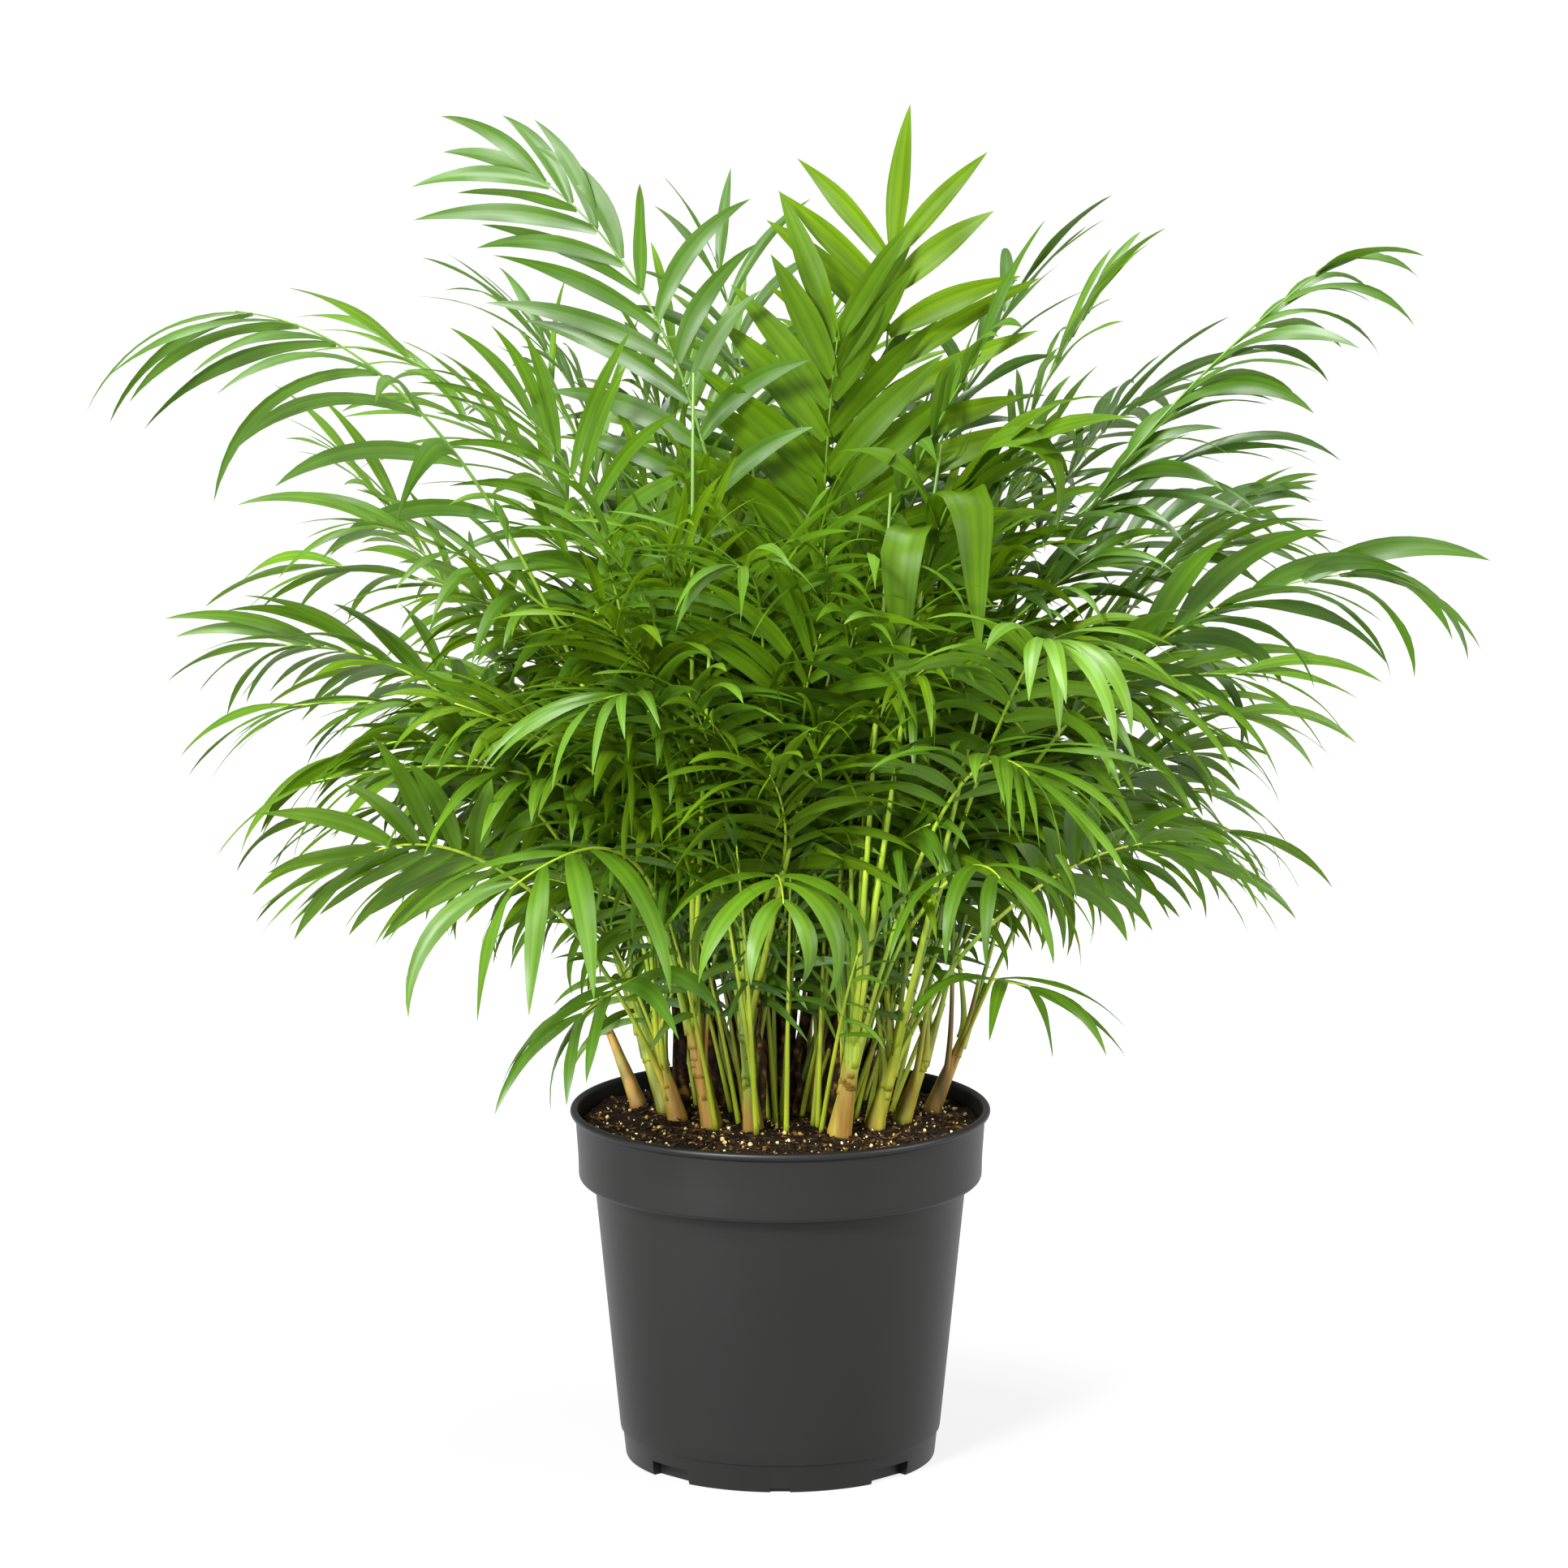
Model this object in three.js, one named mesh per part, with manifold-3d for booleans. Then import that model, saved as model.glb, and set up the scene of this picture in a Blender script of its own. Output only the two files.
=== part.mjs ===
// Potted cat palm: a clump of short sheathed canes in a round nursery pot. Each cane carries
// a fan of arching pinnate fronds. Millimetres, +Z up. The origin is the middle of the pot's
// underside, and the front of the plant faces -Y.
import * as THREE from "three";
import { mergeVertices } from "three/addons/utils/BufferGeometryUtils.js";
import Module from "manifold-3d";

const wasm = await Module();
wasm.setup();

// Driving sizes of the pot
const RIM_D = 260;
const POT_H = 221;
const FOOT_D = 195.2;
const COLLAR_H = 45.5;
const COLLAR_D = 249.6;
const BODY_TOP_D = 230.3;
const WALL = 2.2;
const LIP = { reach: 4.8, height: 4.8 };
const FOOT_BAND = { height: 17, inset: 1.5 };
const FOOT_CORNER = { width: 17, height: 26 }; // plastic that the foot's notches are moulded in
const NOTCH = { width: 31, height: 9.5, angles: [45, 135, 225, 315] };
const SMALL_NOTCH = { width: 12, height: 3, angles: [0, 90, 180, 270] };
const POT_SIDES = 36;

// Driving sizes of the plant
const SOIL_DROP = 9;
const SOIL_Z = POT_H - SOIL_DROP;
const CANE_H = 92;
const CANE_SIDES = 8;
const CANE_SPREAD = 0.0046; // lean per mm of distance from the pot's axis
const PETIOLE_R = 2.5;
const RIB_TIP_R = 1.3;
const BLADE = [0.46, 0.975]; // first and last pair of leaflets, as shares of the rib
const LEAF_ANGLES = [58, 17]; // degrees between leaflet and rib, at the first and last pair
const LEAF_LIFT = 0.2;
const LEAF_BEND = 62; // degrees that a level leaflet bends down over its length
const LEAF_BELLY = 0.4; // where a leaflet is widest, as a share of its length
const LEAF_THICKNESS = 2.1;
const LEAF_BASE = 6.5;
const SEAT = 0.3; // running gap between a piece and what carries it
const CLEAR = 0.35; // least gap between leaflets of different fronds
const MOST_GROUPS = 4; // roots that find room on the tip of one cane
const ROOT_RING = 0.55; // a petiole's root stands this share of its cane's radius off the axis
const LEAST_RING = 4.4;
const RIB_CLEAR = 5.5; // least distance between the middles of two ribs
const RIB_SAMPLES = 160;
const TURNS = [0, 4, -4, 8, -8, 12, -12, 17, -17, 23, -23]; // degrees, tried one by one
const RISES = [0, 18, -18, 36, -36]; // mm that a crest goes up, tried one by one

// Colours
const POT_BLACK = 0x3d3d3b;
const SOIL_BROWN = 0x2c1a0d;
const CANE_GREEN = 0x8a9a3a;
const TONES = { deep: 0x2f6a1c, mid: 0x3f8a1e, fresh: 0x62a81f };

// Where each cane stands on the potting mix, and its foot radius
const CANES = [
  { name: "far_left", at: [-88, 36], r: 7 },
  { name: "left", at: [-71, 22], r: 7.5 },
  { name: "left_inner", at: [-63, -2], r: 8.5 },
  { name: "left_front", at: [-42, -21], r: 9 },
  { name: "front", at: [-16, -29], r: 9.5 },
  { name: "centre_right", at: [22, 20], r: 8.5 },
  { name: "front_right", at: [36, -42], r: 10 },
  { name: "right_front", at: [58, -22], r: 8.5 },
  { name: "right", at: [75, -3], r: 8 },
  { name: "far_right", at: [94, 23], r: 7.5 },
  { name: "back_left", at: [-45, 58], r: 9 },
  { name: "back", at: [-8, 78], r: 9 },
  { name: "back_right", at: [42, 64], r: 9 },
  { name: "centre", at: [-16, 20], r: 9 },
];

// Fronds that shape the front and the outline. The rib leaves its cane, passes its crest and
// ends at its tip. leaf is a leaflet's length and width, roll turns the blade about the rib,
// up lifts the leaflets, bend is how far they bend down, and angles are those between leaflet
// and rib at the first and last pair.
const FRONDS = [
  { name: "left_arch", cane: "left_front", crest: [-180, -72, 618], tip: [-325, -90, 728],
    pairs: 9, leaf: [150, 16], roll: 20, up: -0.2, bend: 66, tone: "mid" },
  { name: "top_left", cane: "front", crest: [-44, -60, 634], tip: [-146, -30, 801],
    pairs: 9, leaf: [106, 18], roll: 72, up: 0, bend: 45, angles: [44, 24], tone: "deep" },
  { name: "top_left_back", cane: "centre", crest: [-14, 40, 570], tip: [-40, 70, 740],
    pairs: 6, leaf: [95, 13], roll: 10, tone: "deep" },
  { name: "top_fresh_right", cane: "centre_right", crest: [54, -20, 548], tip: [68, -35, 763],
    pairs: 7, leaf: [106, 20], roll: -40, up: 0.05, bend: 18, angles: [72, 36], tone: "fresh" },
  { name: "top_fresh_left", cane: "centre_right", crest: [24, -35, 540], tip: [35, -60, 712],
    pairs: 7, leaf: [112, 20], roll: 0, up: 0.1, bend: 18, angles: [52, 20], tone: "fresh" },
  { name: "top_right", cane: "right_front", crest: [120, 10, 552], tip: [190, 30, 714],
    pairs: 8, leaf: [110, 14], roll: -20, tone: "mid" },
  { name: "top_right_back", cane: "back_right", crest: [150, 100, 545], tip: [228, 150, 638],
    pairs: 8, leaf: [125, 14], roll: -20, tone: "deep" },
  { name: "right_long", cane: "right", crest: [156, -50, 550], tip: [336, -30, 752],
    pairs: 9, leaf: [98, 16], roll: 12, up: 0.06, bend: 60, angles: [30, 20], tone: "deep" },
  { name: "right_upper", cane: "far_right", crest: [190, 55, 480], tip: [292, 100, 583],
    pairs: 8, leaf: [84, 13], roll: -35, tone: "deep" },
  { name: "right_middle", cane: "right", crest: [170, -5, 490], tip: [285, 20, 570],
    pairs: 8, leaf: [92, 14], roll: -25, tone: "mid" },
  { name: "right_sweep", cane: "right_front", crest: [190, -80, 495], tip: [347, -110, 573],
    pairs: 9, leaf: [112, 17], roll: -35, up: 0.1, bend: 80, tone: "deep" },
  { name: "right_lower", cane: "far_right", crest: [184, 0, 402], tip: [246, 10, 440],
    pairs: 8, leaf: [84, 14], roll: -25, up: 0.15, tone: "mid" },
  { name: "right_low", cane: "right_front", crest: [166, -85, 383], tip: [250, -125, 412],
    pairs: 8, leaf: [90, 14], roll: -35, tone: "mid" },
  { name: "right_bottom", cane: "far_right", crest: [125, -20, 306], tip: [152, -72, 312],
    pairs: 4, leaf: [92, 12], roll: -10, bend: 70, tone: "mid" },
  { name: "left_middle", cane: "left", crest: [-155, 40, 460], tip: [-265, 70, 610],
    pairs: 8, leaf: [112, 13], roll: 30, tone: "mid" },
  { name: "left_sweep", cane: "far_left", crest: [-185, 20, 455], tip: [-310, 30, 505],
    pairs: 9, leaf: [108, 14], roll: 30, tone: "deep" },
  { name: "left_droop", cane: "left_inner", crest: [-170, -55, 440], tip: [-260, -90, 456],
    pairs: 8, leaf: [102, 15], roll: 25, tone: "mid" },
  { name: "left_low", cane: "left_inner", crest: [-178, -95, 394], tip: [-255, -140, 404],
    pairs: 8, leaf: [98, 16], roll: 52, bend: 36, angles: [58, 22], tone: "mid" },
  { name: "left_front", cane: "left_front", crest: [-95, -110, 402], tip: [-160, -190, 397],
    pairs: 6, leaf: [126, 18], roll: 0, bend: 78, angles: [80, 25], tone: "mid" },
  { name: "left_bottom", cane: "left_front", crest: [-84, -88, 322], tip: [-118, -158, 314],
    pairs: 5, leaf: [94, 15], roll: 25, bend: 72, angles: [65, 25], tone: "deep" },
  { name: "front_droop", cane: "front", crest: [-5, -112, 386], tip: [2, -188, 388],
    pairs: 5, leaf: [96, 16], roll: 0, bend: 110, angles: [80, 30], tone: "mid" },
  { name: "front_right", cane: "front_right", crest: [96, -112, 384], tip: [121, -188, 402],
    pairs: 4, leaf: [92, 15], roll: 0, bend: 100, angles: [75, 25], tone: "mid" },
  { name: "broad_right", cane: "front_right", crest: [83, -120, 553], tip: [108, -150, 625],
    pairs: 5, leaf: [125, 25], roll: -10, tone: "fresh" },
  { name: "broad_left", cane: "front_right", crest: [44, -115, 505], tip: [58, -155, 583],
    pairs: 5, leaf: [105, 15], roll: 10, bend: 120, angles: [75, 30], tone: "mid" },
  { name: "hanging_right", cane: "right_front", crest: [130, -140, 485], tip: [160, -205, 548],
    pairs: 7, leaf: [112, 17], roll: -10, bend: 95, tone: "mid" },
  { name: "front_left_middle", cane: "left_front", crest: [-60, -120, 470], tip: [-105, -185, 510],
    pairs: 7, leaf: [108, 14], roll: 10, tone: "deep" },
  { name: "front_middle", cane: "front", crest: [-10, -120, 520], tip: [-25, -190, 590],
    pairs: 7, leaf: [108, 15], roll: 0, tone: "mid" },
  { name: "front_right_middle", cane: "front_right", crest: [105, -135, 445], tip: [150, -205, 465],
    pairs: 7, leaf: [108, 14], roll: -10, tone: "deep" },
  { name: "inner_left", cane: "left_inner", crest: [-95, -45, 530], tip: [-150, -70, 660],
    pairs: 8, leaf: [112, 14], roll: 15, tone: "mid" },
  { name: "back_left", cane: "back_left", crest: [-85, 90, 545], tip: [-160, 130, 690],
    pairs: 8, leaf: [112, 13], roll: 20, tone: "deep" },
];

// The other fronds fill the crown. Their azimuths, in degrees from +X, step by the golden
// ratio through the sides and the back, and their leans go from nearly upright to low.
const FILL = {
  count: 32,
  per_cane: 5,
  most_in_group: 4,
  seed: 28,
  foot_z: 235,
  azimuths: [-30, 210],
  leans: [8, 67],
  lean_spread: 3,
  reach: [535, 285], // of a frond that leans by the first of reach_leans, and by the second
  reach_leans: [24, 74],
  reach_share: [0.86, 1],
  crest: 0.64, // share of the reach at which the rib has its crest
  crest_lean: 0.62, // share of the lean in which the crest stands
  crest_turn: 0.1,
  leaf_length: [108, 126],
  leaf_width: [13.5, 17],
  low_leans: [45, 67],
  low_leaf: 0.8, // share of a leaflet's length that the lowest fronds keep
  few_pairs_lean: 62,
  roll: [-20, 20],
  cane_ring: 90, // how far out, along its heading, a frond looks for its cane
};
const GOLDEN_STEP = (Math.sqrt(5) - 1) / 2;

const X = new THREE.Vector3(1, 0, 0);
const Z = new THREE.Vector3(0, 0, 1);
const rad = THREE.MathUtils.degToRad;
const mix = (a, b, t) => a + (b - a) * t;

// The same series of numbers between 0 and 1 for the same seed
function seeded(seed) {
  let state = seed;
  return () => {
    state = (state * 16807) % 2147483647;
    return state / 2147483647;
  };
}

function solidFrom(geometry) {
  const bare = geometry.clone();
  bare.deleteAttribute("normal");
  bare.deleteAttribute("uv");
  const merged = mergeVertices(bare, 1e-3);
  const vertProperties = new Float32Array(merged.attributes.position.array);
  const triVerts = new Uint32Array(merged.index.array);
  return new wasm.Manifold(new wasm.Mesh({ numProp: 3, vertProperties, triVerts }));
}

function geometryFrom(solid) {
  const made = solid.getMesh();
  const geometry = new THREE.BufferGeometry();
  geometry.setAttribute("position", new THREE.BufferAttribute(made.vertProperties, 3));
  geometry.setIndex(new THREE.BufferAttribute(made.triVerts, 1));
  return geometry;
}

function node(name, geometry, color, roughness) {
  const material = new THREE.MeshStandardMaterial({ color, roughness, metalness: 0 });
  const mesh = new THREE.Mesh(geometry, material);
  mesh.name = name;
  return mesh;
}

// A mesh that is written down vertex by vertex and face by face
class Shell {
  positions = [];
  faces = [];

  add(point) {
    this.positions.push(point.x, point.y, point.z);
    return this.positions.length / 3 - 1;
  }

  // Joins two rings of equal length with quads whose outsides face out
  bridge(a, b, skip = []) {
    for (let k = 0; k < a.length; k++) {
      const next = (k + 1) % a.length;
      if (skip.includes(k)) continue;
      this.faces.push([a[k], a[next], b[next]], [a[k], b[next], b[k]]);
    }
  }

  geometry() {
    const made = new THREE.BufferGeometry();
    made.setAttribute("position", new THREE.Float32BufferAttribute(this.positions, 3));
    made.setIndex(this.faces.flat());
    return made;
  }
}

// The profile of a turned piece goes round the +Z axis instead of the lathe's own +Y axis
function turned(profile, sides) {
  const points = profile.map(([r, z]) => new THREE.Vector2(r, z));
  return new THREE.LatheGeometry(points, sides).rotateX(Math.PI / 2);
}

// Blocks that stand across the foot of the wall, one at each angle, to be cut away
function footCuts({ width, height, angles }, depth) {
  return angles.map((angle) => {
    const block = new THREE.BoxGeometry(width, depth, height * 2);
    block.translate(0, -FOOT_D / 2, 0);
    block.rotateZ(rad(angle));
    return solidFrom(block);
  });
}

// Radius of the pot's straight body at a height above its foot
function bodyRadius(z) {
  return mix(FOOT_D, BODY_TOP_D, z / (POT_H - COLLAR_H)) / 2;
}

// The inside of the pot's wall, from the floor up to the lip
function insideProfile() {
  const collarZ = POT_H - COLLAR_H;
  return [
    [FOOT_D / 2 - FOOT_CORNER.width, WALL],
    [bodyRadius(FOOT_CORNER.height) - WALL, FOOT_CORNER.height],
    [BODY_TOP_D / 2 - WALL, collarZ],
    [COLLAR_D / 2 - WALL, collarZ + 9],
    [RIM_D / 2 - LIP.reach, POT_H],
  ];
}

function makePot() {
  const rim = RIM_D / 2;
  const collar = COLLAR_D / 2;
  const collarZ = POT_H - COLLAR_H;
  const outside = [
    [FOOT_D / 2 - FOOT_BAND.inset, 0],
    [bodyRadius(FOOT_BAND.height) - FOOT_BAND.inset, FOOT_BAND.height],
    [bodyRadius(FOOT_BAND.height + 1), FOOT_BAND.height + 1],
    [BODY_TOP_D / 2, collarZ - 1],
    [collar - 3.4, collarZ + 0.6],
    [collar, collarZ + 4],
    [collar + 2.4, POT_H - LIP.height - 1.2],
    [rim, POT_H - LIP.height],
    [rim - 0.9, POT_H],
  ];
  const profile = [[0, 0], ...outside, ...insideProfile().reverse(), [0, WALL]];
  const cuts = [...footCuts(NOTCH, 18), ...footCuts(SMALL_NOTCH, 10)];
  const pot = cuts.reduce((left, cut) => left.subtract(cut), solidFrom(turned(profile, POT_SIDES)));
  return node("pot", geometryFrom(pot), POT_BLACK, 0.55);
}

// The potting mix fills the inside of the wall up to its own level
function makeSoil() {
  const inside = insideProfile().map(([r, z]) => [r - 1.5 * SEAT, z]);
  const [lip, shoulder] = [inside.pop(), inside.at(-1)];
  const share = (SOIL_Z - shoulder[1]) / (lip[1] - shoulder[1]);
  inside[0][1] += SEAT;
  const top = [mix(shoulder[0], lip[0], share), SOIL_Z];
  const profile = [[0, WALL + SEAT], ...inside, top, [0, SOIL_Z]];
  return node("potting_mix", turned(profile, POT_SIDES), SOIL_BROWN, 0.95);
}

// Middle of a cane at a height above the potting mix
function caneAxis(cane, h) {
  const [x, y] = cane.at;
  return new THREE.Vector3(x * (1 + CANE_SPREAD * h), y * (1 + CANE_SPREAD * h), SOIL_Z + SEAT + h);
}

// A tapering cane that swells a little where its old leaf sheath ends
function makeCane(cane) {
  const shell = new Shell();
  const rings = [
    [0, 1.06],
    [0.12, 1],
    [0.5, 0.86],
    [0.62, 0.88],
    [1, 0.8],
  ].map(([share, width]) => {
    const middle = caneAxis(cane, share * cane.height);
    return Array.from({ length: CANE_SIDES }, (_, k) => {
      const around = X.clone().applyAxisAngle(Z, (2 * Math.PI * k) / CANE_SIDES);
      return shell.add(middle.clone().addScaledVector(around, cane.r * width));
    });
  });
  rings.slice(1).forEach((ring, i) => shell.bridge(rings[i], ring));
  const foot = shell.add(caneAxis(cane, 0));
  const tip = shell.add(caneAxis(cane, cane.height));
  for (let k = 0; k < CANE_SIDES; k++) {
    const next = (k + 1) % CANE_SIDES;
    shell.faces.push([foot, rings[0][next], rings[0][k]]);
    shell.faces.push([tip, rings.at(-1)[k], rings.at(-1)[next]]);
  }
  return node("cane_" + cane.name, shell.geometry(), CANE_GREEN, 0.6);
}

// Canes get their heights from the seed
function growCanes() {
  const random = seeded(FILL.seed);
  return CANES.map((cane) => ({ ...cane, height: CANE_H * mix(0.8, 1.15, random()), fronds: [] }));
}

// Direction of a frond that turns by azimuth from +X and leans from the upright
function direction(azimuth, lean) {
  const out = Math.sin(lean);
  return new THREE.Vector3(Math.cos(azimuth) * out, Math.sin(azimuth) * out, Math.cos(lean));
}

// Share of the way that a value has gone between two others, held between 0 and 1
function shareOf([from, to], value) {
  return Math.min(1, Math.max(0, (value - from) / (to - from)));
}

// How far from the foot of the crown a fill frond's rib reaches, by its lean in degrees
function reach(lean) {
  return mix(...FILL.reach, shareOf(FILL.reach_leans, lean));
}

// True where one more fill frond fits on a cane, beside its named ones
function hasRoom({ fronds }) {
  const named = fronds.filter((f) => !f.fill);
  return named.length < MOST_GROUPS && fronds.length < FILL.per_cane;
}

// The fill fronds, the lowest first, each on the nearest cane that still has room
function plantFill(canes) {
  const random = seeded(FILL.seed + 1);
  const foot = new THREE.Vector3(0, 0, FILL.foot_z);
  for (let n = FILL.count - 1; n >= 0; n--) {
    const share = (n + 0.5) / FILL.count;
    const lean = mix(...FILL.leans, Math.sqrt(share)) + FILL.lean_spread * mix(-1, 1, random());
    const azimuth = rad(mix(...FILL.azimuths, (n * GOLDEN_STEP) % 1));
    const length = reach(lean) * mix(...FILL.reach_share, random());
    const outward = direction(azimuth, rad(lean));
    const [x, y] = [FILL.cane_ring * outward.x, FILL.cane_ring * outward.y];
    const apart = (cane) => Math.hypot(cane.at[0] - x, cane.at[1] - y);
    const free = canes.filter(hasRoom);
    const cane = free.reduce((best, c) => (apart(c) < apart(best) ? c : best));
    const turn = FILL.crest_turn * mix(-1, 1, random());
    const rise = direction(azimuth + turn, rad(lean * FILL.crest_lean));
    const low = mix(1, FILL.low_leaf, shareOf(FILL.low_leans, lean));
    cane.fronds.push({
      crest: rise.multiplyScalar(length * FILL.crest).add(foot),
      tip: outward.multiplyScalar(length).add(foot),
      pairs: lean > FILL.few_pairs_lean ? 6 : 7,
      leaf: [mix(...FILL.leaf_length, random()) * low, mix(...FILL.leaf_width, random())],
      roll: mix(...FILL.roll, random()),
      tone: ["deep", "mid", "deep", "mid", "fresh"][n % 5],
      fill: true,
    });
  }
}

function plantNamed(canes) {
  for (const frond of FRONDS) {
    const cane = canes.find((c) => c.name === frond.cane);
    const [crest, tip] = [frond.crest, frond.tip].map((at) => new THREE.Vector3(...at));
    cane.fronds.push({ ...frond, crest, tip });
  }
}

// Fronds of one cane in groups that share a root: one for each named frond, and the fill
// fronds together. The roots stand round the cane's tip in the order of their directions.
function groupFronds(cane) {
  const fill = cane.fronds.filter((f) => f.fill);
  const groups = cane.fronds.filter((f) => !f.fill).map((f) => [f]);
  while (fill.length) groups.push(fill.splice(0, FILL.most_in_group));
  const top = caneAxis(cane, cane.height);
  const heading = (group) => {
    const sum = group.reduce((v, f) => v.add(f.crest).sub(top), new THREE.Vector3());
    return Math.atan2(sum.y, sum.x);
  };
  groups.sort((a, b) => heading(a) - heading(b));
  const turn = (2 * Math.PI) / groups.length;
  const start = groups.reduce((sum, group, i) => sum + heading(group) - i * turn, 0) / groups.length;
  return groups.map((fronds, i) => {
    const offset = groups.length > 1 ? Math.max(LEAST_RING, ROOT_RING * cane.r) : 0;
    const root = direction(start + i * turn, Math.PI / 2).multiplyScalar(offset).add(top);
    root.z = top.z + SEAT;
    fronds.forEach((frond) => (frond.root = root));
    const named = fronds.find((f) => f.name);
    return { name: named ? "frond_" + named.name : `fronds_${cane.name}_${i}`, fronds };
  });
}

// The rib as a curve through root, crest and tip
function ribCurve({ root, crest, tip }) {
  const middle = root.clone().add(tip).multiplyScalar(-0.5).addScaledVector(crest, 2);
  return new THREE.QuadraticBezierCurve3(root, middle, tip);
}

// Points along a rib, close enough together to tell how near it comes to something
function ribPoints(frond) {
  return ribCurve(frond).getPoints(RIB_SAMPLES);
}

// True where a rib keeps clear of the ribs of other groups and of the other canes
function isClear(points, frond, settled, canes) {
  const ribs = settled.filter((other) => other.root !== frond.root);
  const nearRib = ribs.some((other) =>
    other.points.some((q) => points.some((p) => p.distanceToSquared(q) < RIB_CLEAR ** 2)),
  );
  const nearCane = canes.some((cane) => {
    if (cane.fronds.includes(frond)) return false;
    const line = new THREE.Line3(caneAxis(cane, 0), caneAxis(cane, cane.height));
    const reachOfCane = cane.r + PETIOLE_R + 1;
    return points.some((p) => {
      const nearest = line.closestPointToPoint(p, true, new THREE.Vector3());
      return nearest.distanceTo(p) < reachOfCane;
    });
  });
  return !nearRib && !nearCane;
}

// Turns each frond a little about its root where its rib would touch another rib or a cane,
// and lifts or lowers its crest where that isn't enough
function settleRibs(fronds, canes) {
  const ways = RISES.flatMap((rise) => TURNS.map((turn) => ({ turn, rise })));
  const settled = [];
  for (const frond of fronds) {
    const { root, crest, tip } = frond;
    const isFree = ways.some(({ turn, rise }) => {
      const swing = (at) => at.clone().sub(root).applyAxisAngle(Z, rad(turn)).add(root);
      frond.crest = swing(crest).addScaledVector(Z, rise);
      frond.tip = swing(tip);
      frond.points = ribPoints(frond);
      return isClear(frond.points, frond, settled, canes);
    });
    if (!isFree) console.error("no room for a rib of", frond.name ?? "a fill frond");
    settled.push(frond);
  }
}

// Along the rib: the point, the direction, the left side and the upper side of the blade
function ribFrame(frond, t) {
  const point = frond.curve.getPoint(t);
  const along = frond.curve.getTangent(t);
  const outward = frond.tip.clone().sub(frond.root).setZ(0).normalize();
  const side = Z.clone().cross(outward);
  side.addScaledVector(along, -side.dot(along)).normalize();
  side.applyAxisAngle(along, rad(frond.roll));
  const upper = along.clone().cross(side);
  return { point, along, side, upper };
}

// Places along the rib where pairs of leaflets stand, from the petiole's end to the tip
function pairPlaces(frond) {
  return Array.from({ length: frond.pairs }, (_, i) => mix(...BLADE, i / (frond.pairs - 1)));
}

const ribRadius = (t) => mix(PETIOLE_R, RIB_TIP_R, t);

// The three corners of the rib's section: left, right and below
function ribSection(frond, t) {
  const { point, side, upper } = ribFrame(frond, t);
  const r = ribRadius(t);
  const corner = (s, n) =>
    point.clone().addScaledVector(side, s * r).addScaledVector(upper, n * r);
  const corners = [corner(1, 0.4), corner(-1, 0.4), corner(0, -1.1)];
  if (t === 0) corners.forEach((c) => (c.z = frond.root.z));
  return corners;
}

// The rib's stations: a few along the petiole, then two for each pair of leaflets
function ribStations(frond) {
  const length = frond.curve.getLength();
  const places = pairPlaces(frond);
  return [0, 0.1, 0.22, 0.34, ...places.flatMap((t) => [t, t + LEAF_BASE / length])];
}

// A leaflet: it leaves the rib at an angle, bends down under its weight and ends in a point.
// share runs from 0 at the first pair to 1 at the last, and lift turns it up or down.
function leafShape(frond, t, share, hand, lift, scale) {
  const { point, along, side, upper } = ribFrame(frond, t);
  const angle = rad(mix(...(frond.angles ?? LEAF_ANGLES), share ** 1.3));
  const heading = along.clone().multiplyScalar(Math.cos(angle));
  heading.addScaledVector(side, hand * Math.sin(angle));
  heading.addScaledVector(upper, (frond.up ?? LEAF_LIFT) + lift).normalize();
  const length = frond.leaf[0] * scale * (0.74 + 0.26 * Math.sin(Math.PI * (0.15 + 0.75 * share)));
  const pitch = Math.asin(heading.z);
  const level = heading.clone().setZ(0).normalize();
  const bend = rad(frond.bend ?? LEAF_BEND) * (0.3 + 0.7 * Math.cos(pitch));
  const at = (u) => {
    const out = (length / bend) * (Math.sin(pitch) - Math.sin(pitch - bend * u));
    const rise = (length / bend) * (Math.cos(pitch - bend * u) - Math.cos(pitch));
    return point.clone().addScaledVector(level, out).addScaledVector(Z, rise);
  };
  const across = along.clone().addScaledVector(heading, -along.dot(heading)).normalize();
  const under = across.clone().cross(heading).multiplyScalar(hand);
  const width = frond.leaf[1] * mix(1, 0.72, share);
  const belly = at(LEAF_BELLY);
  return {
    rear: belly.clone().addScaledVector(across, -width / 2),
    front: belly.clone().addScaledVector(across, width / 2),
    keel: belly.clone().addScaledVector(under, -LEAF_THICKNESS),
    tip: at(1),
  };
}

// The faces of a leaflet that stands on four corners of the rib
function addLeaf(shell, base, leaf, hand) {
  const [rearTop, rearLow, frontLow, frontTop] = base;
  const [rear, keel, front, tip] = [leaf.rear, leaf.keel, leaf.front, leaf.tip].map((p) => shell.add(p));
  const faces = [
    [rearTop, rearLow, rear],
    [rearLow, keel, rear],
    [rearLow, frontLow, keel],
    [frontLow, front, keel],
    [frontLow, frontTop, front],
    [frontTop, rearTop, rear],
    [frontTop, rear, front],
    [rear, keel, tip],
    [keel, front, tip],
    [front, rear, tip],
  ];
  shell.faces.push(...(hand < 0 ? faces : faces.map((face) => face.reverse())));
}

// A leaflet by itself, as a closed solid that can be tested against others
function leafSolid(frond, t, leaf, hand) {
  const shell = new Shell();
  const length = frond.curve.getLength();
  const corner = hand > 0 ? 0 : 1;
  const [rear, front] = [ribSection(frond, t), ribSection(frond, t + LEAF_BASE / length)];
  const base = [rear[corner], rear[2], front[2], front[corner]].map((p) => shell.add(p));
  addLeaf(shell, base, leaf, hand);
  const cap = [
    [base[0], base[2], base[1]],
    [base[0], base[3], base[2]],
  ];
  shell.faces.push(...(hand < 0 ? cap : cap.map((face) => face.reverse())));
  return solidFrom(shell.geometry());
}

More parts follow.
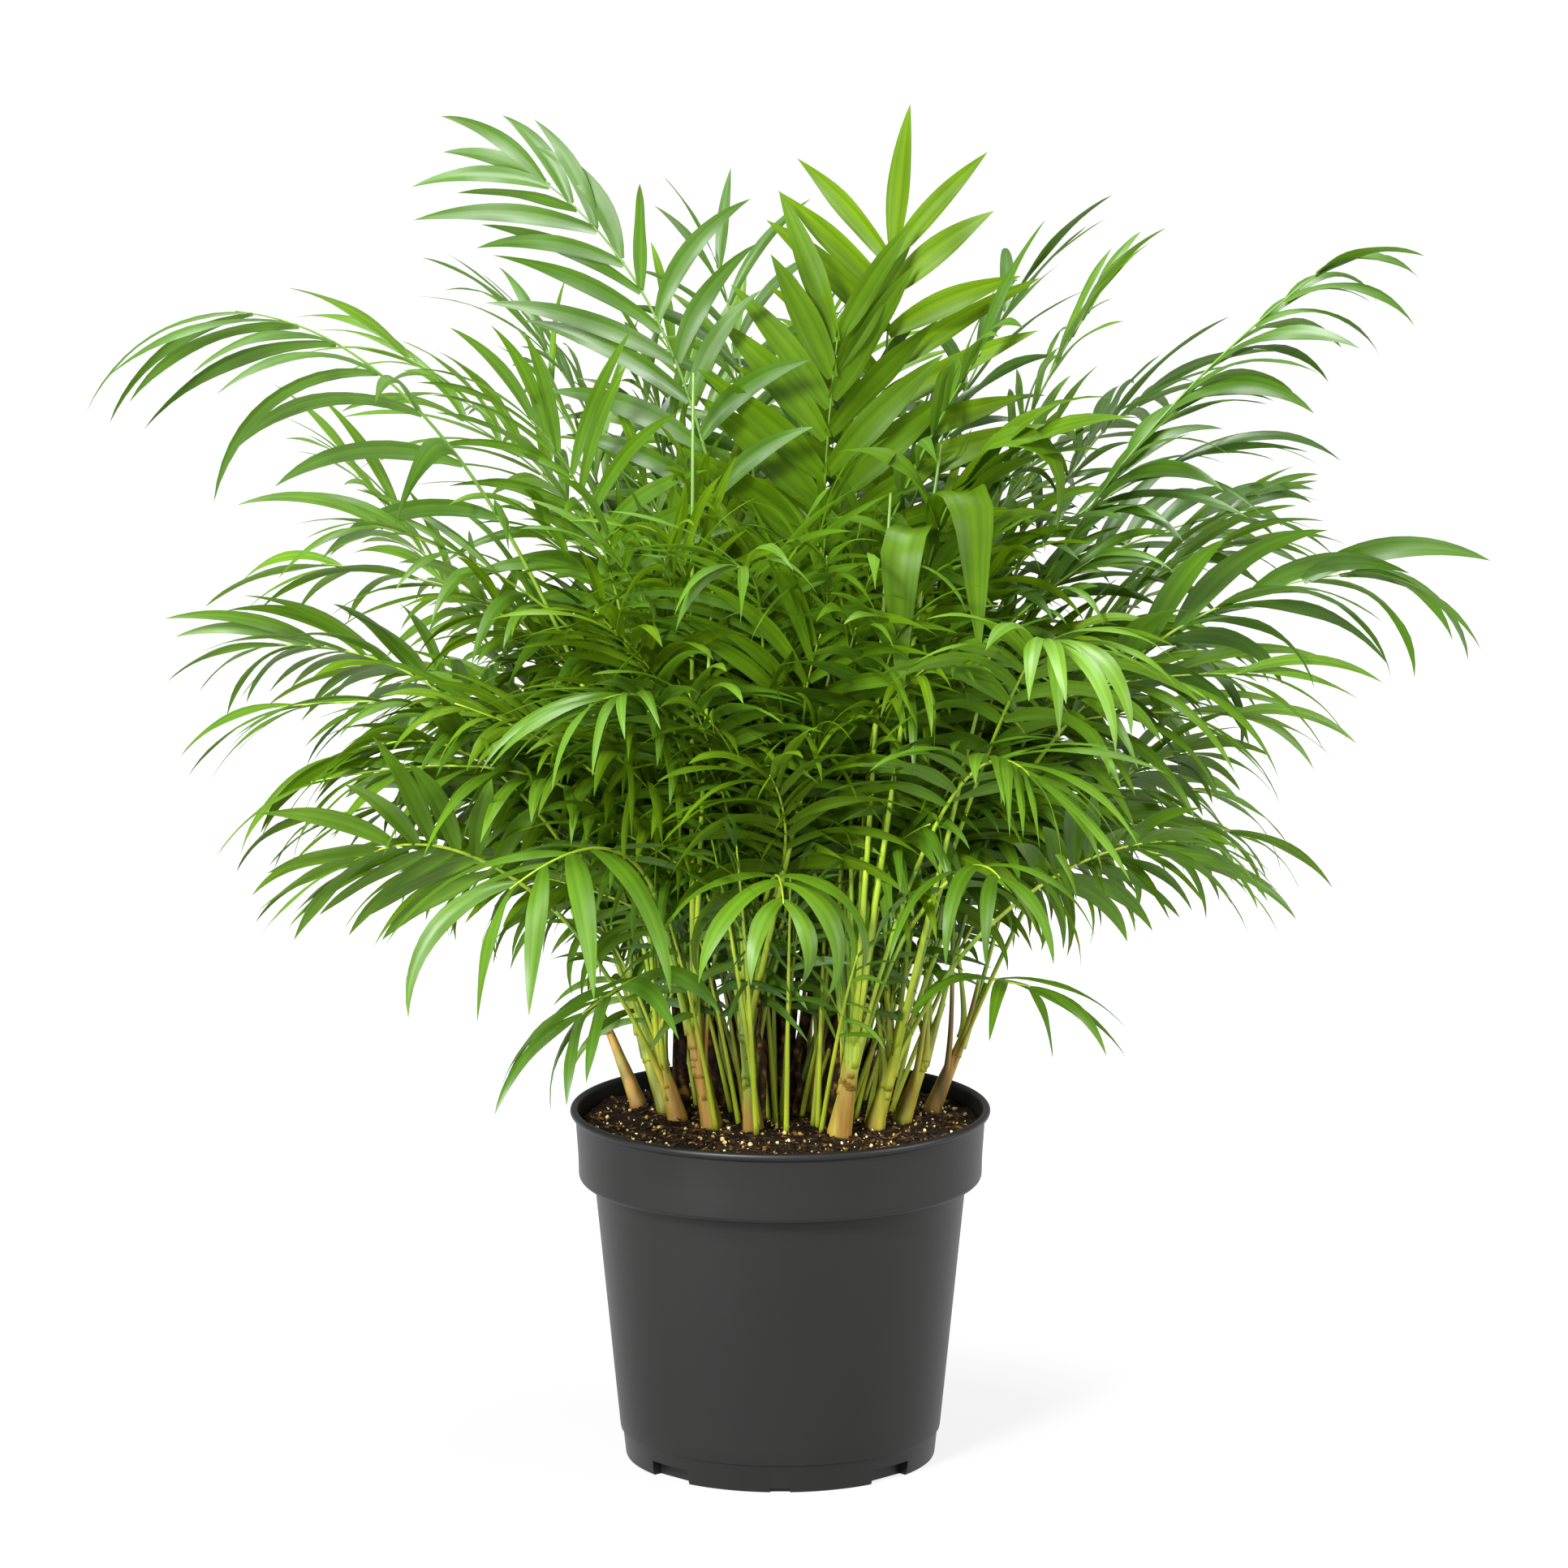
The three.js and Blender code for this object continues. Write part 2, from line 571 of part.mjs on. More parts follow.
// The rib and its leaflets as one closed shell: each leaflet grows out of a side face of the rib
function frondSolid(frond) {
  const shell = new Shell();
  const places = pairPlaces(frond);
  const stations = ribStations(frond);
  const rings = stations.map((t) => ribSection(frond, t).map((p) => shell.add(p)));
  shell.faces.push([rings[0][0], rings[0][2], rings[0][1]]);
  for (let i = 0; i + 1 < rings.length; i++) {
    const pair = places.indexOf(stations[i]);
    const leaves = pair < 0 ? [] : frond.leaves[pair];
    shell.bridge(rings[i], rings[i + 1], leaves.map(({ hand }) => (hand > 0 ? 2 : 1)));
    for (const { hand, leaf } of leaves) {
      const corner = hand > 0 ? 0 : 1;
      const base = [rings[i][corner], rings[i][2], rings[i + 1][2], rings[i + 1][corner]];
      addLeaf(shell, base, leaf, hand);
    }
  }
  const end = shell.add(frond.curve.getPoint(1));
  const last = rings.at(-1);
  last.forEach((corner, k) => shell.faces.push([corner, last[(k + 1) % 3], end]));
  return solidFrom(shell.geometry());
}

// What already stands somewhere, so that a new leaflet can be kept clear of it
class Occupied {
  things = [];

  add(solid, owner) {
    const { min, max } = solid.boundingBox();
    this.things.push({ solid, owner, min, max });
  }

  // True where the solid comes too near a thing, apart from the things of its own frond
  meets(solid, owner) {
    const { min, max } = solid.boundingBox();
    return this.things.some((thing) => {
      if (thing.owner === owner) return false;
      for (let axis = 0; axis < 3; axis++) {
        if (thing.min[axis] - CLEAR > max[axis] || thing.max[axis] + CLEAR < min[axis]) return false;
      }
      return thing.solid.minGap(solid, CLEAR) < CLEAR;
    });
  }
}

// Ways to hold a leaflet, tried in turn: its lift and its share of the full length
const TRIES = [
  [0, 1],
  [0.25, 1],
  [-0.25, 1],
  [0.5, 0.9],
  [-0.5, 0.9],
  [0.1, 0.7],
];

// Gives every frond its leaflets, a pair at a time in turn. One that finds no room is left out.
function growLeaves(fronds, occupied) {
  for (const frond of fronds) {
    frond.curve = ribCurve(frond);
    frond.leaves = Array.from({ length: frond.pairs }, () => []);
    occupied.add(frondSolid(frond), frond);
  }
  const mostPairs = Math.max(...fronds.map((f) => f.pairs));
  for (let pair = mostPairs - 1; pair >= 0; pair--) {
    for (const frond of fronds.filter((f) => pair < f.pairs)) {
      const t = pairPlaces(frond)[pair];
      for (const hand of [1, -1]) {
        for (const [lift, scale] of TRIES) {
          const leaf = leafShape(frond, t, pair / (frond.pairs - 1), hand, lift, scale);
          const solid = leafSolid(frond, t, leaf, hand);
          if (occupied.meets(solid, frond)) continue;
          occupied.add(solid, frond);
          frond.leaves[pair].push({ hand, leaf });
          break;
        }
      }
    }
  }
}

const pot = makePot();
const soil = makeSoil();
const canes = growCanes();
plantNamed(canes);
plantFill(canes);
const groups = canes.flatMap(groupFronds);
const fronds = groups.flatMap((group) => group.fronds);
settleRibs([...fronds.filter((f) => !f.fill), ...fronds.filter((f) => f.fill)], canes);
const caneMeshes = canes.map(makeCane);
const occupied = new Occupied();
[pot, soil, ...caneMeshes].forEach((mesh) => occupied.add(solidFrom(mesh.geometry), mesh.name));
growLeaves(fronds, occupied);

const plant = new THREE.Group();
plant.name = "potted_cat_palm";
plant.add(pot, soil, ...caneMeshes);
for (const group of groups) {
  const solid = group.fronds.map(frondSolid).reduce((sum, frond) => sum.add(frond));
  plant.add(node(group.name, geometryFrom(solid), TONES[group.fronds[0].tone], 0.5));
}

export default plant;
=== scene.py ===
"""A potted cat palm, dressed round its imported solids.

The plant follows the rule of its solids: canes stand on the potting mix, each carries fronds,
and a frond is a rib with pairs of leaflets. Here every rib gets more and finer leaflets, and
shorter fronds fill the inside of the crown. Sizes are in millimetres until a mesh is made.
The front of the plant faces -Y, and the origin is the middle of the pot's underside.
"""

import math
from dataclasses import dataclass, field

import bpy
import numpy as np
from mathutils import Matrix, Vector, noise


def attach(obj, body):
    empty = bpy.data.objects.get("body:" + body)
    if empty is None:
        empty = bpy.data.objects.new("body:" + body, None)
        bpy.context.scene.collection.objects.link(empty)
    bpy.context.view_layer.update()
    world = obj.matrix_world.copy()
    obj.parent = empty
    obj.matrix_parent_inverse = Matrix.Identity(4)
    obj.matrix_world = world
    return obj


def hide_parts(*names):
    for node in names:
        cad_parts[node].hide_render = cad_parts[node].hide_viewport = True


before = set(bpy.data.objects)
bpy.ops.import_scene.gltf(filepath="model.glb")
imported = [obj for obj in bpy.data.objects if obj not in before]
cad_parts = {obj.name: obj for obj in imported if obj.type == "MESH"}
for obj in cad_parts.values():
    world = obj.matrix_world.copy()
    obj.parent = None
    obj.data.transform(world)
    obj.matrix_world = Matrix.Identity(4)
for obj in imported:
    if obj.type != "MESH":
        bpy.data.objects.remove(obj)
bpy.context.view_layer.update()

MM = 0.001

# Driving sizes of the pot
RIM_D = 260
POT_H = 221
FOOT_D = 195.2
COLLAR_H = 45.5
COLLAR_D = 249.6
BODY_TOP_D = 230.3
WALL = 2.2
LIP = {"reach": 4.8, "height": 4.8}
FOOT_BAND = {"height": 17, "inset": 1.5}
FOOT_CORNER = {"width": 17, "height": 26}
NOTCH = {"width": 31, "height": 9.5, "depth": 18, "angles": (45, 135, 225, 315)}
SMALL_NOTCH = {"width": 12, "height": 3, "depth": 10, "angles": (0, 90, 180, 270)}
COLLAR_STEP = 9  # height over which the inside steps out to the collar
CORNER_R = 3.6  # of the collar's lower corner
POT_SIDES = 180
POT_EDGE = 35  # degrees from which an edge of the pot stays sharp

# Driving sizes of the plant, as its solids have them
SOIL_DROP = 9
SOIL_Z = POT_H - SOIL_DROP
CANE_H = 92
CANE_HEIGHTS = (0.8, 1.15)  # shares of CANE_H between which the canes end
CANE_SPREAD = 0.0046  # lean per mm of distance from the pot's axis
PETIOLE_R = 2.5
BLADE = (0.46, 0.975)  # first and last pair of leaflets, as shares of the rib
LEAF_ANGLES = (58, 17)  # degrees between leaflet and rib, at the first and last pair
LEAF_LIFT = 0.2
LEAF_BEND = 62  # degrees that a level leaflet bends down over its length
LEAF_BELLY = 0.4  # where a leaflet is widest, as a share of its length
SEAT = 0.3
MOST_GROUPS = 4
ROOT_RING = 0.55
LEAST_RING = 4.4
RIB_CLEAR = 5.5
CANE_CLEAR = 1
RIB_SAMPLES = 160
TURNS = (0, 4, -4, 8, -8, 12, -12, 17, -17, 23, -23)
RISES = (0, 18, -18, 36, -36)

# Ribs and leaflets, finer here than in the solids
SLIM = 0.72  # share of its solid's radius that a petiole has here
RIB_TIP_R = 0.5
RIB_TAPER = 0.9
RIB_SIDES = 7
RIB_STEPS = 26
PAIRS_FINER = 1.4
LEAF_NARROWER = 0.8
LEAF_STEPS = 12  # faces along a leaflet
LEAF_ACROSS = 4  # faces across it
LEAF_TAPER = 1.8  # how full a leaflet stays towards its tip
LEAF_FOOT = 0.6  # how far a leaflet's foot is drawn in
UNFOLDING = 0.55  # share of its fold that a leaflet loses towards its tip
RIPPLE = {"depth": 0.16, "run": 9}
PATTERN = 100  # mm of a leaflet for one unit of its pattern
STAGGER = 0.004  # share of the rib between the middle of a pair and its leaflets
LAST_LEAF = 0.985
CLOSING = 1.3  # how late along the blade the leaflets close up to the rib
LEAST_LENGTH = 0.74  # share of a leaflet's length, which half a wave brings up to 1
SWELL = (0.15, 0.75)  # where the blade starts on that half wave, and how much of it the blade has
TIP_WIDTH = 0.72  # share of their width that the last leaflets have

# Between which values leaflets vary, with angles in degrees
VARIED = {
    "place": (-0.007, 0.007), "angle": (-5, 5), "lift": (-0.12, 0.12), "length": (0.88, 1.04),
    "width": (0.86, 1.08), "bend": (0.82, 1.2), "sway": (-9, 9), "twist": (-24, 24),
    "fold": (10, 26), "wave": (0, math.tau),
}

# Canes. The profile has shares of the height, and the shares of the radius there.
CANE_SIDES = 28
CANE_STEPS = 34
CANE_SUNK = 4
CANE_PROFILE = ((0, 0.1, 0.5, 1), (0.64, 0.56, 0.38, 0.2))
FIBRES = ((5, 0.035), (11, 0.02), (19, 0.012))  # ribs round a cane, and their depths
FIBRE_TURN = 0.8
EDGES = {"at": (0.22, 0.5, 0.76), "spread": 0.07, "slant": 0.13, "depth": 0.075, "sharp": 45}

# The foot of a petiole, which leaves its cane as a sheath and joins its rib at a share of it
SHEATH_END = 0.26
SHEATH = {
    "steps": 22,
    "sides": 14,
    "heights": (0.05, 0.62),  # where it starts, as shares of the cane's height
    "heads_for": 0.2,  # share of the rib towards which it leaves the cane
    "out": 0.22,  # share of the cane's radius at which it starts
    "upright": 0.45,  # how strongly it follows the cane at first
    "at": (0, 0.15, 0.4, 1),  # where it has its radii, as shares of its length
    "radii": (0.4, 0.28),  # the first two of them, as shares of the cane's
    "ribs": 3,
    "depth": 0.07,
}

# Where each cane stands on the potting mix, and its foot radius
CANES = (
    ("far_left", (-88, 36), 7),
    ("left", (-71, 22), 7.5),
    ("left_inner", (-63, -2), 8.5),
    ("left_front", (-42, -21), 9),
    ("front", (-16, -29), 9.5),
    ("centre_right", (22, 20), 8.5),
    ("front_right", (36, -42), 10),
    ("right_front", (58, -22), 8.5),
    ("right", (75, -3), 8),
    ("far_right", (94, 23), 7.5),
    ("back_left", (-45, 58), 9),
    ("back", (-8, 78), 9),
    ("back_right", (42, 64), 9),
    ("centre", (-16, 20), 9),
)

# The fronds that fill the crown in the solids too
FILL = {
    "count": 32,
    "per_cane": 5,
    "most_in_group": 4,
    "seed": 28,
    "foot_z": 235,
    "azimuths": (-30, 210),  # degrees, as all angles here, except that crest_turn is in radians
    "leans": (8, 67),
    "lean_spread": 3,
    "reach": (535, 285),  # of a frond that leans by the first of reach_leans, and by the second
    "reach_leans": (24, 74),
    "reach_share": (0.86, 1),
    "crest": 0.64,  # share of the reach at which the rib has its crest
    "crest_lean": 0.62,  # share of the lean in which the crest stands
    "crest_turn": 0.1,
    "leaf_length": (108, 126),
    "leaf_width": (13.5, 17),
    "low_leans": (45, 67),
    "low_leaf": 0.8,  # share of a leaflet's length that the lowest fronds keep
    "few_pairs_lean": 62,
    "pairs": (7, 6),  # and those of a frond that leans more than that
    "roll": 20,
    "cane_ring": 90,  # how far out, along its heading, a frond looks for its cane
    "tones": ("deep", "mid", "deep", "mid", "fresh"),
    "wild": 1.4,
}
GOLDEN_STEP = (math.sqrt(5) - 1) / 2

# Shorter fronds that only this scene has, inside the reach of the others
INNER = {
    "count": 170,
    "seed": 11,
    "azimuths": (-180, 180),
    "leans": (2, 56),
    "leaning": 0.6,  # under 1, so that more of them lean far
    "reach_share": (0.5, 0.86),
    "crest": 0.6,
    "crest_lean": 0.74,
    "crest_turn": 0.25,
    "leaf_length": (66, 100),
    "leaf_width": (9.5, 13.5),
    "pairs": 7,
    "roll": 60,
    "cane_ring": (50, 90),
    "root_ring": 0.4,  # and the heights of the root, as shares of the cane's own sizes
    "root_heights": (0.6, 1),
    "front": 0.3,  # how far a frond heads for the front where it takes the front's tones
    "front_shorter": 0.12,
    "front_steeper": 0.4,
    # The front's tones leave out the deep one, so that fronds heading for the front read lighter: painted
    # light, besides the fresh green of young leaflets
    "front_painted_light_tones": ("fresh", "fresh", "mid", "fresh", "mid", "fresh"),
    "tones": ("deep", "mid", "fresh", "mid", "deep", "mid"),
    "wild": 2.0,
}
INNER_HELD = {"angles": (42, 16), "bend": 88}

# Fronds that only this scene has, low in the middle of the front: cane, crest, tip, leaf and tone
FRONT = (
    ("front_right", (14, -98, 425), (24, -160, 545), (112, 15), "fresh"),
    ("front", (-30, -92, 415), (-54, -165, 510), (104, 15), "mid"),
    ("front_right", (52, -104, 445), (70, -172, 548), (100, 14), "mid"),
    ("left_front", (-56, -74, 450), (-98, -146, 545), (100, 14), "fresh"),
    ("right_front", (84, -60, 380), (112, -140, 468), (100, 14), "mid"),
    ("front", (2, -100, 396), (-6, -172, 462), (104, 15), "fresh"),
)
FRONT_PAIRS = 8
FRONT_HELD = {"angles": (56, 22), "bend": 80, "wide": 0.95, "finer": 1.2}

# Petioles that show in front of the leaflets: cane, and where each one ends deep among them
PETIOLES = (
    ("front_right", (96, -104, 650)),
    ("left_front", (-52, -84, 690)),
    ("left_front", (-40, -96, 570)),
    ("front", (38, -92, 545)),
    ("right_front", (128, -92, 530)),
    ("front_right", (66, -100, 620)),
)
PETIOLE = {"foot": 0.6, "turn": 0.62, "forward": (0, -92, 20), "radii": (2.1, 0.9)}

# The broad pleated leaflets of the young frond in front: share of the rib, azimuth and pitch in
# degrees, length, width, bend in degrees, the shares of the length between which it bends, twist
# in degrees, and how full the leaflet stays towards its tip
BROAD = (
    (0.68, -58, 80, 152, 29, 164, (0.10, 0.46), -26, 1.0),
    (0.58, -112, 73, 164, 26, 163, (0.10, 0.46), 14, 1.0),
    (0.84, -12, 56, 128, 30, 150, (0.25, 0.80), -20, 1.2),
    (0.96, 12, 50, 118, 24, 60, (0.30, 1.00), 10, 1.8),
    (0.80, -8, 40, 132, 36, 40, (0.30, 1.00), -8, 1.8),
    (0.66, -14, 47, 125, 40, 50, (0.30, 1.00), 8, 1.8),
    (0.52, -18, 52, 112, 38, 60, (0.30, 1.00), 0, 1.8),
    (0.70, 170, 62, 84, 28, 75, (0.30, 1.00), 6, 1.8),
    (0.54, 178, 58, 80, 28, 70, (0.30, 1.00), -6, 1.8),
)
BROAD_SWAY = (-12, 12)
BROAD_FOLD = (12, 20)

# Young shoots between the canes, and old brown sheaths there, whose dark brown also stands in as painted
# shade in the gaps between the canes
SHOOTS = {
    "count": 60, "middle": (0, 22), "ring": (8, 72), "sunk": 2, "height": (120, 215),
    "lean": (0.1, 0.5), "aside": 12, "arch": 0.08, "pairs": 4, "leaf": (56, 6.5),
    "longer": (0.7, 1.25), "wider": (0.8, 1.3), "roll": 90, "tones": ("deep", "deep", "mid"),
    "wild": 2.4,
}
SHADE_STUBS = {
    "count": 40, "middle": (0, 30), "ring": (0, 62), "sunk": 3, "height": (45, 120),
    "lean": (0, 0.4), "steps": 7, "sides": 12, "aside": 1.5, "r": (2.6, 6.0),
    "profile": ((0, 0.7, 1), (1, 0.7, 0.25)), "relief": 0.16,
}

# The potting mix with its lumps, crumbs and low mound, and what lies on it
SOIL = {
    "sides": 200, "rings": 66, "lump": 17, "lump_height": 1.9, "roughness": (0.9, 2.1, 4),
    "crumb": 3.1, "crumb_height": 0.9, "mound": 2.2, "mound_r": 122, "settled": 1.5, "clear": 0.5,
    "rim_clear": 0.6, "floor_clear": 1,
}
CHIPS = {
    "count": 2300, "size": ((1.2, 4.6), (0.35, 1.0), (0.25, 0.6)), "rough": (0.55, 1.1),
    "tilt": 32, "ring": 119, "lift": 0.35, "edge": 20,
}
PERLITE = {
    "count": 620, "size": (0.45, 1.15), "mostly_small": 2.2, "rough": (0.7, 1.15),
    "stretch": (0.7, 1.2), "tilt": 60, "ring": 118, "lift": 0.5, "rings": 3, "sides": 7,
}
SEED = 5

# Base colours of the leaflets, dealt out by frond, and their fresh green where light comes through
SHADES = {
    "deep": ((0.024, 0.066, 0.003), (0.036, 0.092, 0.004)),
    "mid": ((0.049, 0.115, 0.004), (0.067, 0.146, 0.005)),
    "fresh": ((0.049, 0.104, 0.0025), (0.066, 0.126, 0.003)),
}
SHINE_THROUGH = (0.27, 0.52, 0.01)
GLOSS = {"deep": 0.4, "mid": 0.34, "fresh": 0.12}
GLOW = {"deep": 0.25, "mid": 0.42, "fresh": 0.55}
THROUGH = 0.2  # share of the light that goes through a leaflet

# Camera and stage, with lights in metres and watts: name, place, width and height, and power
CAMERA = {"at": (2.3, -5000, 1393), "aim_z": 423.5, "lens": 190.5, "sensor": 36, "clip_end": 100}
FLOOR_R = 30000
FLOOR_TINT = 0.08
# The floor's glow is weaker near the pot, which paints a shadow round its foot
FLOOR_GLOW_WITH_PAINTED_SHADOW = (0.84, 0.985)  # near the pot and away from it
PAINTED_SHADOW_FADE_AT = (0.2, 0.7)  # m from the pot's axis
SKY = 0.43
LIGHTS = (
    ("key", (-1.5, -2.9, 2.5), (0.7, 0.7), 330),
    ("top", (0.2, 0.2, 3.2), (1.2, 1.2), 180),
    ("side", (2.8, -0.9, 1.4), (1.4, 2.0), 105),
    ("low", (-2.2, -2.3, 1.0), (0.8, 1.6), 115),
    ("front", (0.3, -3.6, 1.1), (1.2, 1.2), 20),
)
LIGHTS_AIM = (0, 0, 0.4)

X = np.array([1.0, 0.0, 0.0])
Z = np.array([0.0, 0.0, 1.0])

# A block from -1 to 1 each way
BLOCK = np.array([(x, y, z) for x in (-1, 1) for y in (-1, 1) for z in (-1, 1)], float)
BLOCK_FACES = [(0, 1, 3, 2), (4, 6, 7, 5), (0, 4, 5, 1), (2, 3, 7, 6), (0, 2, 6, 4), (1, 5, 7, 3)]


@dataclass
class Cane:
    """One cane, its fronds and the groups in which they leave it"""

    name: str
    at: tuple
    r: float
    height: float = 0.0
    fronds: list = field(default_factory=list)
    groups: list = field(default_factory=list)

    def axis(self, h):
        """Middle of the cane at a height above the potting mix"""
        x, y = self.at
        spread = 1 + CANE_SPREAD * h
        return np.array([x * spread, y * spread, SOIL_Z + SEAT + h])


@dataclass(eq=False)
class Frond:
    """A rib from its root past its crest to its tip, and how its leaflets are held"""

    cane: str
    crest: tuple
    tip: tuple
    pairs: int
    leaf: tuple
    roll: float
    tone: str
    name: str = ""
    up: float = LEAF_LIFT
    bend: float = LEAF_BEND
    angles: tuple = LEAF_ANGLES
    finer: float = PAIRS_FINER
    wide: float = LEAF_NARROWER
    wild: float = 1.3  # how far its leaflets vary, as a share of VARIED
    longer: float = 1.0
    end_leaf: float = 0  # length of a leaflet that goes on from the rib's tip
    upright_bend: float = 0.3  # share of the bend that an upright leaflet has
    uneven: float = 0  # how much longer the leaflets are on the side where hand is 1
    fill: bool = False
    root: tuple = ()
    node: str = ""

    def curve(self):
        """The three points that steer the rib's curve"""
        middle = 2 * self.crest - (self.root + self.tip) / 2
        return self.root, middle, self.tip

    def points(self, t):
        """Places on the rib, for shares of the way from root to tip"""
        return bent_line(*self.curve(), np.asarray(t)[:, None])

    def tangents(self, t):
        a, b, c = self.curve()
        t = np.asarray(t)[:, None]
        return unit((1 - t) * (b - a) + t * (c - b))

    def sides(self, t):
        """Along the rib, to its left and to its upper side, for shares of its length"""
        along = self.tangents(t)
        outward = (self.tip - self.root) * (1, 1, 0)
        side = np.cross(Z, unit(outward[None]))
        side = unit(side - along * dot(side, along))
        side = turned(side, along, math.radians(self.roll))
        return along, side, np.cross(along, side)


def named_fronds():
    """The fronds that shape the front and the outline, as the solids have them"""
    rows = (
        ("left_arch", "left_front", (-180, -72, 618), (-325, -90, 728), 9, (150, 16), 20, "deep"),
        ("top_left", "front", (-44, -60, 634), (-146, -30, 801), 9, (106, 18), 72, "deep"),
        ("top_left_back", "centre", (-14, 40, 570), (-40, 70, 740), 6, (95, 13), 10, "deep"),
        ("top_fresh_right", "centre_right", (54, -20, 548), (68, -35, 763), 7, (106, 20), -40, "fresh"),
        ("top_fresh_left", "centre_right", (24, -35, 540), (35, -60, 712), 7, (112, 20), 0, "fresh"),
        ("top_right", "right_front", (120, 10, 552), (190, 30, 714), 8, (110, 14), -20, "mid"),
        ("top_right_back", "back_right", (150, 100, 545), (228, 150, 638), 8, (125, 14), -20, "deep"),
        ("right_long", "right", (156, -50, 550), (336, -30, 752), 9, (98, 16), 12, "deep"),
        ("right_upper", "far_right", (190, 55, 480), (292, 100, 583), 8, (84, 13), -35, "mid"),
        ("right_middle", "right", (170, -5, 490), (285, 20, 570), 8, (92, 14), -25, "mid"),
        ("right_sweep", "right_front", (190, -80, 495), (347, -110, 573), 9, (112, 17), -35, "deep"),
        ("right_lower", "far_right", (184, 0, 402), (246, 10, 440), 8, (84, 14), -25, "mid"),
        ("right_low", "right_front", (166, -85, 383), (250, -125, 412), 8, (90, 14), -35, "mid"),
        ("right_bottom", "far_right", (125, -20, 306), (152, -72, 312), 4, (92, 12), -10, "mid"),
        ("left_middle", "left", (-155, 40, 460), (-265, 70, 610), 8, (112, 13), 30, "mid"),
        ("left_sweep", "far_left", (-185, 20, 455), (-310, 30, 505), 9, (108, 14), 30, "mid"),
        ("left_droop", "left_inner", (-170, -55, 440), (-260, -90, 456), 8, (102, 15), 25, "fresh"),
        ("left_low", "left_inner", (-178, -95, 394), (-255, -140, 404), 8, (98, 16), 52, "mid"),
        ("left_front", "left_front", (-95, -110, 402), (-160, -190, 397), 6, (126, 18), 0, "mid"),
        ("left_bottom", "left_front", (-84, -88, 322), (-118, -158, 314), 5, (94, 15), 25, "deep"),
        ("front_droop", "front", (-5, -112, 386), (2, -188, 388), 5, (96, 16), 0, "mid"),
        ("front_right", "front_right", (96, -112, 384), (121, -188, 402), 4, (92, 15), 0, "mid"),
        ("broad_right", "front_right", (83, -120, 553), (108, -150, 625), 5, (125, 25), -10, "fresh"),
        ("broad_left", "front_right", (44, -115, 505), (58, -155, 583), 5, (105, 15), 10, "mid"),
        ("hanging_right", "right_front", (130, -140, 485), (160, -205, 548), 7, (112, 17), -10, "mid"),
        ("front_left_middle", "left_front", (-60, -120, 470), (-105, -185, 510), 7, (108, 14), 10, "mid"),
        ("front_middle", "front", (-10, -120, 520), (-25, -190, 590), 7, (108, 15), 0, "mid"),
        ("front_right_middle", "front_right", (105, -135, 445), (150, -205, 465), 7, (108, 14), -10, "mid"),
        ("inner_left", "left_inner", (-95, -45, 530), (-150, -70, 660), 8, (112, 14), 15, "mid"),
        ("back_left", "back_left", (-85, 90, 545), (-160, 130, 690), 8, (112, 13), 20, "deep"),
    )
    held = {
        "left_arch": {"up": -0.2, "bend": 66, "finer": 0.78, "wide": 0.85, "longer": 1.06},
        "top_left": {"up": 0.05, "bend": 32, "angles": (40, 20), "finer": 1.1, "wide": 0.8,
                     "upright_bend": 1.7, "uneven": -0.12, "end_leaf": 70},
        "top_fresh_right": {"up": 0.05, "bend": 18, "angles": (72, 36), "finer": 1.45, "wide": 1.05,
                            "end_leaf": 90},
        "top_fresh_left": {"up": 0.1, "bend": 18, "angles": (52, 20), "finer": 1.3, "wide": 1.15},
        "right_long": {"up": 0.06, "bend": 105, "angles": (22, 12), "wide": 1.05, "end_leaf": 70},
        "right_sweep": {"bend": 82, "up": 0.12, "angles": (36, 15), "wide": 1.1, "finer": 0.85,
                        "wild": 1.6, "longer": 1.1, "end_leaf": 78},
        "right_upper": {"angles": (40, 16)},
        "right_middle": {"angles": (42, 16)},
        "right_lower": {"up": 0.15, "wide": 0.9},
        "right_low": {"finer": 1.2, "wide": 0.95},
        "right_bottom": {"bend": 70, "finer": 1, "wide": 0.9},
        "left_low": {"bend": 36, "angles": (58, 22), "finer": 1, "wide": 1},
        "left_front": {"bend": 78, "angles": (80, 25), "finer": 1, "wide": 0.95, "longer": 1.1},
        "left_bottom": {"bend": 72, "angles": (65, 25), "finer": 1, "wide": 1.05, "longer": 1.15},
        "front_droop": {"bend": 110, "angles": (80, 30), "finer": 0.8, "wide": 1.1},
        "front_right": {"bend": 100, "angles": (75, 25), "finer": 1, "wide": 0.85},
        "broad_left": {"bend": 120, "angles": (75, 30), "finer": 0.8, "wide": 0.8},
        "hanging_right": {"bend": 95, "wide": 0.95},
        "front_left_middle": {"wide": 0.75, "wild": 1.8},
        "front_middle": {"wide": 0.7, "wild": 1.8},
        "front_right_middle": {"wide": 0.75, "wild": 1.8},
    }
    return [
        Frond(cane, np.array(crest, float), np.array(tip, float), pairs, leaf, roll, tone,
              name=name, **held.get(name, {}))
        for name, cane, crest, tip, pairs, leaf, roll, tone in rows
    ]


# Small sums

def mix(a, b, t):
    return a + (b - a) * t


def dot(a, b):
    return (a * b).sum(-1, keepdims=True)


def unit(v):
    return v / np.linalg.norm(v, axis=-1, keepdims=True)


def turned(v, axis, angle):
    """v turned about an axis of length 1"""
    cos, sin = np.cos(angle), np.sin(angle)
    return v * cos + np.cross(axis, v) * sin + axis * dot(axis, v) * (1 - cos)


def bent_line(a, b, c, t):
    """Places on the curve from a to c that b pulls to itself"""
    return (1 - t) ** 2 * a + 2 * t * (1 - t) * b + t**2 * c


def share_of(ends, value):
    """How far a value has come from the first end to the second, from 0 to 1"""
    low, high = ends
    return min(1, max(0, (value - low) / (high - low)))


